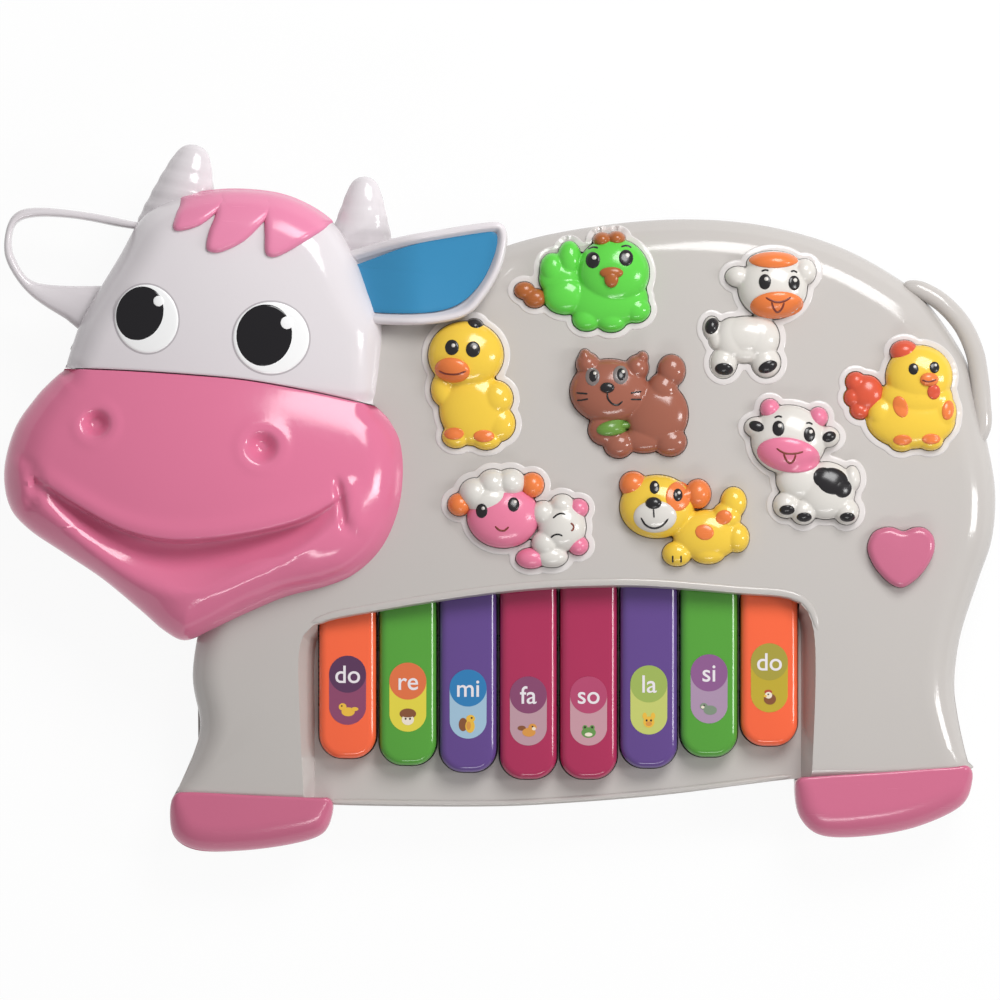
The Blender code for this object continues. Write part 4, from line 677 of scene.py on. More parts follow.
# Up each cheek crease: place along the muzzle, place across it
CREASES = (
    ((-169.5, -5), (-167.0, 3), (-167.4, 9), (-170.5, 16)),
    ((-55.4, -12), (-56.4, -5), (-57.4, 1), (-58.4, 8)),
)
CREASE_DEPTH = 1.7
CHEEK_SWELL = 0.9
NOSTRIL_RIM = 0.3
UPPER_LIP = 0.9
LOWER_LIP = 0.8
SMILE = flow(LIP_LINE, 160, closed=False)
MOUTH_LINE = flow(MOUTH, 160, closed=False)


def ease(low, high, value):
    """A smooth step from 0 at low to 1 at high."""
    share = max(0.0, min(1.0, (value - low) / (high - low)))
    return share * share * (3.0 - 2.0 * share)


def face_top(x, y):
    return crown(x, y, FACE_CROWN)


def between(rows, key, at):
    """The values of a table at a place, drawn straight between its rows."""
    for before, after in zip(rows, rows[1:]):
        if before[key] <= at <= after[key]:
            share = (at - before[key]) / (after[key] - before[key])
            return [a + (b - a) * share for a, b in zip(before, after)]
    return rows[0] if at < rows[0][key] else rows[-1]


def muzzle_top(x, y):
    """The muzzle's crown with its nostrils, overhanging upper lip, lower lip and cheek creases."""
    height = crown(x, y, MUZZLE_CROWN)
    for hole_x, hole_y, radius in NOSTRILS:
        reach = math.hypot(x - hole_x, y - hole_y) / radius
        height -= NOSTRIL_DEPTH * (1.0 - ease(0.15, 0.95, reach))
        height += NOSTRIL_RIM * math.exp(-((reach - 1.2) / 0.3) ** 2)
    below = between(SMILE, 0, x)[1] - y
    _, deep, ridge = between(MOUTH_LINE, 0, x)
    rise = 1.0 - ease(0.0, 1.15 * ridge, below)
    height -= max(deep, 0.0) * ease(-0.5, 1.3, below) * rise
    full = ease(0.5, 7.0, deep)
    height += UPPER_LIP * full * math.exp(-((below + 3.0) / 3.5) ** 2)
    height += LOWER_LIP * full * math.exp(-((below - 1.05 * ridge) / 3.0) ** 2)
    for crease in CREASES:
        line = between(crease, 1, y)[0]
        low, high = crease[0][1], crease[-1][1]
        window = ease(low - 2.0, low + 4.0, y) * (1.0 - ease(high - 4.0, high + 2.0, y))
        outward = (x - line) if line > MUZZLE_CROWN[1] else (line - x)
        height -= CREASE_DEPTH * window * math.exp(-((x - line) / 1.5) ** 2)
        height += CHEEK_SWELL * window * math.exp(-((outward - 4.5) / 3.4) ** 2)
    return height


FACE_WHITE = plastic("face_white", ink(216, 210, 213), drift=0.03, gloss=0.13, rub=0.06)
face_loop = flow(FACE_EDGE + tuple((x, y, SEAM_ROLL) for x, y in SEAM), 240)
face = domed(face_loop, face_top, FACE_CROWN[1:3], PARTING)
dress(face, "face", FACE_WHITE, "case", ["face_shell"], angle=50.0)
SHELL_PINK = plastic("shell_pink", ink(214, 115, 148), drift=0.04, gloss=0.13, rub=0.04)
muzzle_loop = flow(MUZZLE_EDGE + tuple((x, y - SEAM_GAP, SEAM_ROLL) for x, y in reversed(SEAM)), 360)
muzzle = domed(muzzle_loop, muzzle_top, MUZZLE_CROWN[1:3], PARTING, inner=84)
dress(muzzle, "muzzle_cap", SHELL_PINK, "case", ["muzzle"], angle=60.0)

# Forelock
# A pink plate of three pointed locks, glued on the top of the face and following its curve.
LOCKS = (
    ((-117.6, 97.8), (-115.4, 96.6), (-108.4, 98.4), (-103.0, 102.2), (-98.0, 107.0), (-97.0, 112.0),
     (-106.0, 111.2), (-113.0, 109.0), (-115.6, 105.4), (-117.0, 101.4)),
    ((-105.6, 90.6), (-103.6, 88.9), (-99.4, 89.2), (-92.0, 92.9), (-86.0, 98.6), (-81.0, 104.6),
     (-81.0, 111.0), (-90.0, 112.2), (-101.0, 112.0), (-102.4, 102.4), (-104.6, 96.6)),
    ((-84.4, 88.8), (-82.4, 87.2), (-79.4, 87.6), (-75.4, 89.6), (-68.6, 93.8), (-62.6, 98.0), (-59.6, 101.6),
     (-63.0, 104.6), (-74.0, 109.4), (-87.0, 112.2), (-85.0, 104.0), (-84.6, 95.4)),
)
LOCK_THICK = 2.6
LOCK_FOOT = 36.0
LOCK_STEPS = 80
HAIRLINE_OUT = 0.3
HAIRLINE_SNAP = 3.2
LOCK_VOXEL = 0.4 * MM
LOCK_PINK = plastic("lock_pink", ink(222, 132, 165), drift=0.04, gloss=0.2)


def centre(loop):
    return sum(point[0] for point in loop) / len(loop), sum(point[1] for point in loop) / len(loop)


def coloured(piece, skin):
    piece.data.materials.clear()
    piece.data.materials.append(skin)
    return piece


def together(pieces):
    """Join pieces into one object that keeps each one's finish."""
    pick(*pieces)
    bpy.ops.object.join()
    return bpy.context.object


face_drop = rolled(face_loop)
tufts = []
hairline = pulled_in(face_loop, -HAIRLINE_OUT)
for edge in LOCKS:
    lock_loop = flow([(x, y, LOCK_THICK) for x, y in edge], LOCK_STEPS)
    for point in lock_loop:
        nearest = min(hairline, key=lambda other: math.dist(other[:2], point[:2]))
        if math.dist(nearest[:2], point[:2]) < HAIRLINE_SNAP:
            point[:2] = nearest[:2]
    tuft = domed(lock_loop, lambda x, y: face_top(x, y) - face_drop(x, y) + LOCK_THICK, centre(lock_loop),
                 LOCK_FOOT)
    apply_modifier(tuft, "REMESH", mode="VOXEL", voxel_size=LOCK_VOXEL)
    tufts.append(coloured(apply_modifier(tuft, "SMOOTH", factor=0.5, iterations=12), LOCK_PINK))
dress(together(tufts), "forelock_plate", None, "case", ["forelock"], angle=50.0)

# Eyes
# Each eye is a white disc pressed into the face, printed with a black pupil and a spark of white.
# Disc, pupil and spark of each eye: place, half sizes and tilt
EYES = {
    "left_eye": (
        (-127.0, 65.1, 11.5, 12.4, 12.0), (-129.2, 66.9, 8.8, 10.1, -20.0), (-122.7, 71.4, 2.0, 2.0, 0.0),
    ),
    "right_eye": (
        (-82.2, 58.2, 13.7, 13.0, 0.0), (-84.4, 59.1, 10.4, 11.3, -10.0), (-76.6, 63.6, 2.4, 2.4, 0.0),
    ),
}


def pad(x, y, half_x, half_y, rise, ground, tilt=0.0, sides=40, rows=16, sink=0.5, swell=1.0):
    """A low oval pillow that follows the ground under it."""
    pick()
    bpy.ops.mesh.primitive_uv_sphere_add(segments=sides, ring_count=rows, radius=1.0)
    turn = math.radians(tilt)

    def place(unit_x, unit_y, unit_z):
        wide = math.hypot(unit_x, unit_y)
        stretch = 1.0 / wide if unit_z < 0.0 and wide > 0.01 else 1.0
        across = unit_x * stretch * half_x
        along = unit_y * stretch * half_y
        place_x = x + across * math.cos(turn) - along * math.sin(turn)
        place_y = y + across * math.sin(turn) + along * math.cos(turn)
        lift = rise * max(unit_z, 0.0) ** swell if unit_z >= 0.0 else sink * unit_z
        return place_x, place_y, ground(place_x, place_y) + lift

    return reshaped(place)


EYE_WHITE = plastic("eye_white", ink(240, 240, 240), drift=0.02, gloss=0.14, rub=0.05)
EYE_BLACK = plastic("eye_black", ink(22, 20, 24), drift=0.10, gloss=0.10, rub=0.06)
# The grey ring round each eye disc is painted shade, for the thin shadow where the disc sits in its recess in
# the face.
EYE_RIM_SHADE = plastic("eye_rim_shade", ink(176, 170, 174), drift=0.06, gloss=0.3)
RIM_WIDTH = 0.5
for name, (disc, pupil, spark) in EYES.items():
    rim = (disc[0], disc[1], disc[2] + RIM_WIDTH, disc[3] + RIM_WIDTH, disc[4])
    layers = []
    for (x, y, half_x, half_y, tilt), rise, sides, swell, skin in (
        (rim, 0.25, 72, 1.0, EYE_RIM_SHADE), (disc, 0.55, 72, 0.5, EYE_WHITE), (pupil, 0.72, 72, 0.35, EYE_BLACK),
        (spark, 0.86, 32, 0.35, EYE_WHITE),
    ):
        layers.append(coloured(pad(x, y, half_x, half_y, rise, face_top, tilt, sides, swell=swell), skin))
    dress(together(layers), name + "_disc", None, "case", [name], angle=60.0)

# Horns
# Two white ribbed horns, plugged into the top of the head behind the face.
RIB_COUNT = 6.5
RIB_SIZE = 0.012
HORN_TAPER = 0.7
HORN_FLAT = 0.72
# Root, bend and tip of each horn, and half its width at the root
HORNS = {
    "left_horn": ((-117.0, 94.0, 28.0), (-113.8, 112.0, 33.0), (-109.8, 128.4, 34.0), 17.2),
    "right_horn": ((-51.4, 82.0, 22.0), (-49.8, 101.0, 32.0), (-48.8, 117.0, 34.0), 15.2),
}
for name, (root, bend, tip, half) in HORNS.items():

    def girth(share, half=half):
        ribs = 1.0 + RIB_SIZE * math.cos(2.0 * math.pi * share * RIB_COUNT)
        return half * (1.0 - HORN_TAPER * share) * ribs

    horn = swept((root, bend, tip), girth, lambda share: HORN_FLAT * girth(share), steps=96, sides=40,
                 blunt=9)
    dress(horn, name + "_ribbed", FACE_WHITE, "case", [name], angle=60.0)

# Ears
# The left ear is an open loop that is also the carrying handle. The right ear is a dish with a blue
# plate glued in it. Both are white and plug into the sides of the head.
HANDLE_EDGE = (
    (-120, 98), (-133, 100.9), (-150, 104.2), (-168, 105.8), (-176.3, 103), (-179.4, 94),
    (-178, 85), (-170.4, 74.5), (-158.3, 66.2), (-146, 60), (-125, 72),
)
HANDLE_HOLE = (
    (-120, 94), (-141, 99.4), (-155, 101.9), (-168, 102.4), (-175, 100), (-176.8, 93),
    (-175, 86.5), (-170, 79.8), (-160, 77.7), (-140, 77.7), (-122, 79),
)
HANDLE_LEVEL = 30.0
HANDLE_HALF = 5.0
EAR_STEPS = 160
HANDLE_SIDES = 20
HANDLE_SQUARE = (0.55, 0.75)
handle_outer = flow(HANDLE_EDGE, EAR_STEPS)
handle_inner = flow(HANDLE_HOLE, EAR_STEPS)
offset = min(range(EAR_STEPS), key=lambda step: sum(
    math.dist(handle_outer[index], handle_inner[(index + step) % EAR_STEPS])
    for index in range(0, EAR_STEPS, 8)))


def handle_section(index):
    outer = handle_outer[index]
    inner = handle_inner[(index + offset) % EAR_STEPS]
    around = []
    for step in range(HANDLE_SIDES):
        turn = 2.0 * math.pi * step / HANDLE_SIDES
        wide = math.copysign(abs(math.cos(turn)) ** HANDLE_SQUARE[0], math.cos(turn))
        high = math.copysign(abs(math.sin(turn)) ** HANDLE_SQUARE[1], math.sin(turn))
        share = 0.5 - 0.5 * wide
        around.append((outer[0] + (inner[0] - outer[0]) * share, outer[1] + (inner[1] - outer[1]) * share,
                       HANDLE_LEVEL + HANDLE_HALF * high))
    return around


def ringed(loop, section):
    """A closed band round a loop; section gives places for one point of the loop, walked round."""
    bands = [section(index) for index in range(len(loop))]
    pick()
    bpy.ops.mesh.primitive_torus_add(major_segments=len(loop), minor_segments=len(bands[0]),
                                     major_radius=1.0, minor_radius=0.25)

    def place(x, y, z):
        around = round(math.atan2(y, x) / (2 * math.pi) * len(bands)) % len(bands)
        across = round(math.atan2(z, math.hypot(x, y) - 1.0) / (2 * math.pi) * len(bands[0])) % len(bands[0])
        return bands[around][across]

    return reshaped(place)


handle = ringed(handle_outer, handle_section)
dress(handle, "ear_loop", FACE_WHITE, "case", ["ear_handle"], angle=60.0)
EAR_EDGE = (
    (-60, 88), (-53.8, 90.3), (-38, 94.5), (-22, 97.4), (-5.2, 100), (0.5, 99.6), (2.6, 96), (2.3, 90.3),
    (-0.2, 81.7), (-5.9, 72.4), (-12.3, 66.2), (-23.8, 63.4), (-38, 63.0), (-50, 64.5), (-60, 70),
)
EAR_HIGH = 49.0
EAR_DEEP = 8.0
EAR_POLE = (-26.0, 81.0)
PLATE_EDGE = (
    (-58, 83.0), (-50.6, 85.4), (-33.3, 91.4), (-16.1, 95.3), (-5.2, 96.9), (-1.6, 96.2), (-0.8, 93.4),
    (-2.2, 87.6), (-6.4, 78.8), (-13.6, 71.3), (-23.2, 67.8), (-37, 67.2), (-50, 68.4), (-58, 72),
)
PLATE_LEVEL = 46.6
PLATE_POLE = (-22.0, 81.5)
EAR_DIP = 9.0
DIP_REACH = (-60.0, -28.0)


def ear_root(x):
    """How far the ear's root dips where it goes in under the face."""
    return EAR_DIP * (1.0 - ease(*DIP_REACH, x))


ear_loop = flow(EAR_EDGE, EAR_STEPS)
ear_rings = []
for inset, drop in ((1.6, EAR_DEEP), (0.5, EAR_DEEP - 1.0), (0.0, EAR_DEEP - 3.0), (0.1, 2.0), (0.4, 0.9),
                    (0.9, 0.25), (1.5, 0.0), (2.2, 0.3), (2.8, 1.0), (3.4, 2.2), (4.2, 3.6), (6.0, 4.6)):
    ear_rings.append([(x, y, EAR_HIGH - drop - ear_root(x)) for x, y in pulled_in(ear_loop, inset)])
ear = stacked(ear_rings, (*EAR_POLE, EAR_HIGH - 5.2))
dress(ear, "ear_dish", FACE_WHITE, "case", ["right_ear"], angle=50.0)
EAR_BLUE = plastic("ear_blue", ink(52, 132, 176), drift=0.10, gloss=0.22, rub=0.03)
plate_loop = flow(PLATE_EDGE, EAR_STEPS)
plate_rings = []
for share, drop in ((0.0, 1.8), (0.0, 0.3), (0.008, 0.08), (0.02, 0.0), (0.1, 0.2), (0.2, 0.36), (0.3, 0.5),
                    (0.4, 0.6), (0.5, 0.7), (0.6, 0.8), (0.7, 0.87), (0.8, 0.93), (0.9, 0.97)):
    inward = [(x + (PLATE_POLE[0] - x) * share, y + (PLATE_POLE[1] - y) * share) for x, y in plate_loop]
    plate_rings.append([(x, y, PLATE_LEVEL - drop - ear_root(x)) for x, y in inward])
plate = stacked(plate_rings, (*PLATE_POLE, PLATE_LEVEL - 1.0))
dress(plate, "ear_plate", EAR_BLUE, "case", ["ear_inset"], angle=50.0)

# Hooves and tail
# Pink hooves push on to the ends of the legs, and a white tail lies against the rump.
HOOVES = {
    "front_hoof": (
        (-61.6, -108.2, 2), (-60.6, -113, 6), (-64.3, -121, 9), (-76, -125, 10), (-94, -127.4, 10),
        (-110, -127.2, 10), (-118.2, -122.5, 9), (-119.8, -114, 6), (-118.0, -107.0, 2), (-112, -105.8, 1),
        (-90, -106.8, 1), (-68, -107.7, 1),
    ),
    "rear_hoof": (
        (169.6, -96.4, 2), (171.4, -101.5, 6), (167.5, -111, 9), (152, -118.5, 10), (134, -122, 10),
        (117, -121.8, 9), (109, -115.5, 8), (106.8, -105.5, 6), (108.2, -100.9, 2), (116, -99.9, 1),
        (140, -98.4, 1), (163, -96.8, 1),
    ),
}
HOOF_RISE = 1.2
HOOF_PINK = plastic("hoof_pink", ink(200, 106, 136), drift=0.05, gloss=0.2)
for name, edge in HOOVES.items():
    hoof_loop = flow(edge, 140)
    hoof = domed(hoof_loop, lambda x, y: body_top(x, y) + HOOF_RISE, centre(hoof_loop), PARTING)
    dress(hoof, name + "_cap", HOOF_PINK, "case", [name], angle=40.0)
TAIL_PATH = ((146.0, 78.0), (152.6, 76.2), (160.6, 71.2), (167.6, 63.4), (172.0, 53.8), (173.8, 44.0),
             (174.6, 35.0), (175.0, 27.0), (172.6, 19.0))
TAIL_LEVEL = 26.0
TAIL_GIRTH = 3.4
tail = swept([(x, y, TAIL_LEVEL) for x, y in TAIL_PATH], lambda share: TAIL_GIRTH, lambda share: TAIL_GIRTH,
             steps=100, sides=24, blunt=8)
dress(tail, "tail_cord", SHELL_WHITE_SHADED, "case", ["tail"], angle=60.0)

# Keys
# Eight hollow keys in four colours, hinged at the back under the shell. Each carries a printed pill
# with its note on a dark round and a small picture below.
KEY_TOP = 33.5
KEY_DEEP = 11.5
KEY_ROLL = 2.8
ROLL_STEPS = 5
KEY_SKIN = 2.0
KEY_ROOF = 2.6
KEY_NOSE = 6.0
KEY_TAIL = 1.5
ROOM_LOW = 10.0
KEY_MESH = 4.0
KEY_SHADES = {
    "orange": (236, 100, 62), "green": (82, 152, 56), "purple": (94, 68, 132), "magenta": (164, 46, 84),
}
KEY_SKINS = {name: plastic("key_" + name, ink(*shade), gloss=0.11) for name, shade in KEY_SHADES.items()}
KEY_ROW = ("orange", "green", "purple", "magenta", "magenta", "purple", "green", "orange")
NOTES = ("do", "re", "mi", "fa", "so", "la", "si", "do")
PILLS = (
    ((84, 48, 82), (132, 66, 98)), ((212, 108, 64), (214, 200, 66)), ((42, 118, 172), (152, 182, 202)),
    ((128, 66, 102), (178, 142, 152)), ((172, 68, 104), (188, 142, 152)), ((150, 170, 84), (186, 192, 104)),
    ((134, 86, 134), (162, 136, 162)), ((160, 148, 58), (182, 160, 46)),
)
INKS = {
    "straw": (222, 176, 62), "tan": (206, 142, 66), "brown": (128, 78, 48), "cream": (226, 214, 196),
    "leaf": (96, 140, 72), "sage": (120, 136, 116), "red": (176, 72, 50), "dark": (52, 40, 36),
}
# The small picture on each key, as dots of ink: colour, place and half sizes
PICTURES = (
    (("straw", 0.2, -0.6, 2.4, 1.6), ("straw", -1.8, 1.2, 1.4, 1.3), ("straw", 2.6, 0.4, 1.3, 0.7),
     ("dark", -2.1, 1.5, 0.3, 0.3)),
    (("brown", 0.0, 1.2, 3.0, 1.9), ("cream", 0.0, -0.9, 2.2, 2.0), ("brown", 0.0, 0.9, 2.6, 1.0),
     ("dark", -0.8, -0.6, 0.35, 0.4), ("dark", 0.8, -0.6, 0.35, 0.4)),
    (("brown", -1.8, -0.2, 1.6, 2.4), ("straw", 0.7, -0.8, 1.7, 2.4), ("straw", 0.9, 1.9, 1.6, 1.4),
     ("tan", 0.2, -0.6, 0.8, 1.5), ("dark", 1.3, 2.2, 0.35, 0.35)),
    (("brown", -2.4, 1.0, 1.5, 0.9), ("tan", 0.2, -0.5, 2.4, 1.6), ("tan", 1.5, 1.3, 1.5, 1.3),
     ("cream", 2.0, 0.8, 0.7, 0.6), ("dark", 1.5, 1.6, 0.3, 0.3)),
    (("leaf", 0.0, -0.6, 2.6, 1.9), ("leaf", -1.3, 1.2, 0.9, 0.9), ("leaf", 1.3, 1.2, 0.9, 0.9),
     ("dark", -1.3, 1.3, 0.4, 0.4), ("dark", 1.3, 1.3, 0.4, 0.4), ("cream", 0.0, -1.3, 1.4, 0.7)),
    (("straw", 0.0, -0.8, 2.0, 2.0), ("straw", -1.5, 1.4, 0.8, 1.2), ("straw", 1.5, 1.4, 0.8, 1.2),
     ("tan", 0.0, -1.4, 1.1, 0.8), ("dark", -0.8, -0.2, 0.35, 0.4), ("dark", 0.8, -0.2, 0.35, 0.4)),
    (("sage", 0.4, -0.5, 2.4, 1.7), ("sage", -1.9, 0.9, 1.4, 1.2), ("cream", -2.3, 0.6, 0.6, 0.5),
     ("dark", -1.8, 1.2, 0.3, 0.3)),
    (("red", -0.4, 2.1, 1.4, 0.8), ("brown", 0.2, -0.5, 2.2, 2.0), ("cream", -0.3, 0.9, 1.3, 1.2),
     ("straw", -1.5, 0.6, 0.6, 0.4), ("dark", -0.4, 1.2, 0.3, 0.3)),
)
PILL_HALF = 6.7
PILL_LONG = 25.0
PILL_BACK = 24.7
PICTURE_DROP = 1.4
LETTER_SIZE = 9.0 * MM
LETTER_DROP = 0.4
LETTER_RISE = 0.16
PRINT_GLOSS = 0.32
PRINT_THICK = 0.10
PRINT_WHITE = plastic("print_white", ink(222, 216, 220), drift=0.04, gloss=0.3)
PRINT_INKS = {
    name: plastic("print_" + name, ink(*shade), drift=0.12, gloss=PRINT_GLOSS) for name, shade in INKS.items()
}


def flat_print(loop, level, thick, skin):
    """A thin printed layer."""
    return coloured(upright(loop, level, level + thick), skin)


PRINT_STEPS = 48


def oval_loop(x, y, half_x, half_y):
    turns = [2.0 * math.pi * step / PRINT_STEPS for step in range(PRINT_STEPS)]
    return [(x + half_x * math.cos(turn), y + half_y * math.sin(turn)) for turn in turns]


for index in range(KEY_COUNT):
    name = "key_%d" % (index + 1)
    plan = key_plan(index)
    loop = []
    for before, after in zip(plan, plan[1:] + plan[:1]):
        pieces = max(1, int(math.dist(before, after) / KEY_MESH))
        for step in range(pieces):
            share = step / pieces
            loop.append([start + (end - start) * share for start, end in zip(before, after)])
    rings = [[(x, y, KEY_TOP - KEY_DEEP) for x, y in loop]]
    for step in range(ROLL_STEPS + 1):
        turn = 0.5 * math.pi * step / ROLL_STEPS
        rings.append([(x, y, KEY_TOP - KEY_ROLL * (1.0 - math.sin(turn)))
                      for x, y in pulled_in(loop, KEY_ROLL * (1.0 - math.cos(turn)))])
    key = stacked(rings)
    middle = key_middle(index)
    front = KEY_FRONTS[index]
    pick()
    bpy.ops.mesh.primitive_cube_add(size=1.0)
    room = reshaped(lambda x, y, z: (middle + 2.0 * x * (KEY_WIDTH / 2 - KEY_SKIN),
                                     (front + KEY_NOSE) * (0.5 - y) + (KEY_BACK - KEY_TAIL) * (0.5 + y),
                                     ROOM_LOW * (0.5 - z) + (KEY_TOP - KEY_ROOF) * (0.5 + z)))
    carve(key, room)
    shade = KEY_ROW[index]
    dress(key, name + "_cap", KEY_SKINS[shade], name, [name], angle=30.0)
    dark, pale = PILLS[index]
    round_at = front + PILL_BACK + PILL_LONG / 2 - PILL_HALF
    picture_at = front + PILL_BACK - PILL_LONG / 2 + PILL_HALF
    disc = oval_loop(middle, round_at, PILL_HALF, PILL_HALF)
    pill = [(x, y if step <= PRINT_STEPS // 2 else y + picture_at - round_at)
            for step, (x, y) in enumerate(disc)]
    pale_skin = plastic(name + "_pale", ink(*pale), drift=0.10, gloss=PRINT_GLOSS)
    dark_skin = plastic(name + "_dark", ink(*dark), drift=0.10, gloss=PRINT_GLOSS)
    layers = [flat_print(pill, KEY_TOP - 0.02, PRINT_THICK, pale_skin),
              flat_print(disc, KEY_TOP + 0.02, PRINT_THICK, dark_skin)]
    for step, (dot_ink, x, y, half_x, half_y) in enumerate(PICTURES[index]):
        layers.append(flat_print(oval_loop(middle + x, picture_at - PICTURE_DROP + y, half_x, half_y),
                                 KEY_TOP + 0.03, PRINT_THICK + 0.02 * step, PRINT_INKS[dot_ink]))
    pick()
    bpy.ops.object.text_add()
    letters = bpy.context.object
    letters.data.body = NOTES[index]
    letters.data.align_x = "CENTER"
    letters.data.align_y = "CENTER"
    letters.data.size = LETTER_SIZE
    letters.data.offset = 0.06 * MM
    letters.data.extrude = 0.03 * MM
    bpy.ops.object.convert(target="MESH")
    for vertex in letters.data.vertices:
        vertex.co.x += middle * MM
        vertex.co.y += (round_at - LETTER_DROP) * MM
        vertex.co.z += (KEY_TOP + LETTER_RISE) * MM
    layers.append(coloured(letters, PRINT_WHITE))
    dress(together(layers), name + "_print", None, name, angle=30.0)

# Sound buttons
# Eight animals and a heart, moulded in one colour each with painted details. Each is a push button that
# slides in its opening on a rubber dome.
PAINTS = {
    "yellow": plastic("duck_yellow", ink(230, 192, 66), gloss=0.14),
    "lime": plastic("bird_green", ink(92, 200, 70), gloss=0.14),
    "brown": plastic("cat_brown", ink(152, 92, 74), gloss=0.16),
    "white": plastic("calf_white", ink(212, 208, 202), drift=0.03, gloss=0.18),
    "black": plastic("paint_black", ink(34, 32, 34), drift=0.12, gloss=0.2),
    "orange": plastic("paint_orange", ink(226, 122, 62), drift=0.10, gloss=0.22),
    "red": plastic("paint_red", ink(208, 84, 58), drift=0.10, gloss=0.22),
    "pink": plastic("paint_pink", ink(222, 122, 152), drift=0.08, gloss=0.2),
    "rust": plastic("paint_rust", ink(164, 92, 44), drift=0.12, gloss=0.22),
    "olive": plastic("paint_green", ink(100, 140, 60), drift=0.12, gloss=0.24),
    "line": plastic("paint_line", ink(120, 50, 36), drift=0.12, gloss=0.3),
    "grey": plastic("paint_grey", ink(122, 112, 110), drift=0.06, gloss=0.2),
}
# Each animal's own colour and the record's slot for it
GROUNDS = {
    "duck": ("yellow", "yellow_plastic"), "bird": ("lime", "lime_plastic"), "cat": ("brown", "brown_plastic"),
    "calf": ("white", "button_white"), "hen": ("yellow", "yellow_plastic"), "cow": ("white", "button_white"),
    "sheep": ("white", "sheep_pink"), "dog": ("yellow", "yellow_plastic"),
}
# Lumps that have another colour, by their place in the list
LUMP_COLOURS = {
    "hen": {4: "red", 5: "red", 6: "red", 7: "red", 8: "red"},
    "cow": {3: "pink", 4: "pink"},
    "sheep": {0: "pink", 5: "orange", 6: "orange", 11: "pink", 12: "pink", 13: "pink"},
    "dog": {1: "orange", 2: "orange"},
    "duck": {7: "black"},
    "bird": {9: "rust", 10: "rust", 11: "rust", 12: "rust"},
}
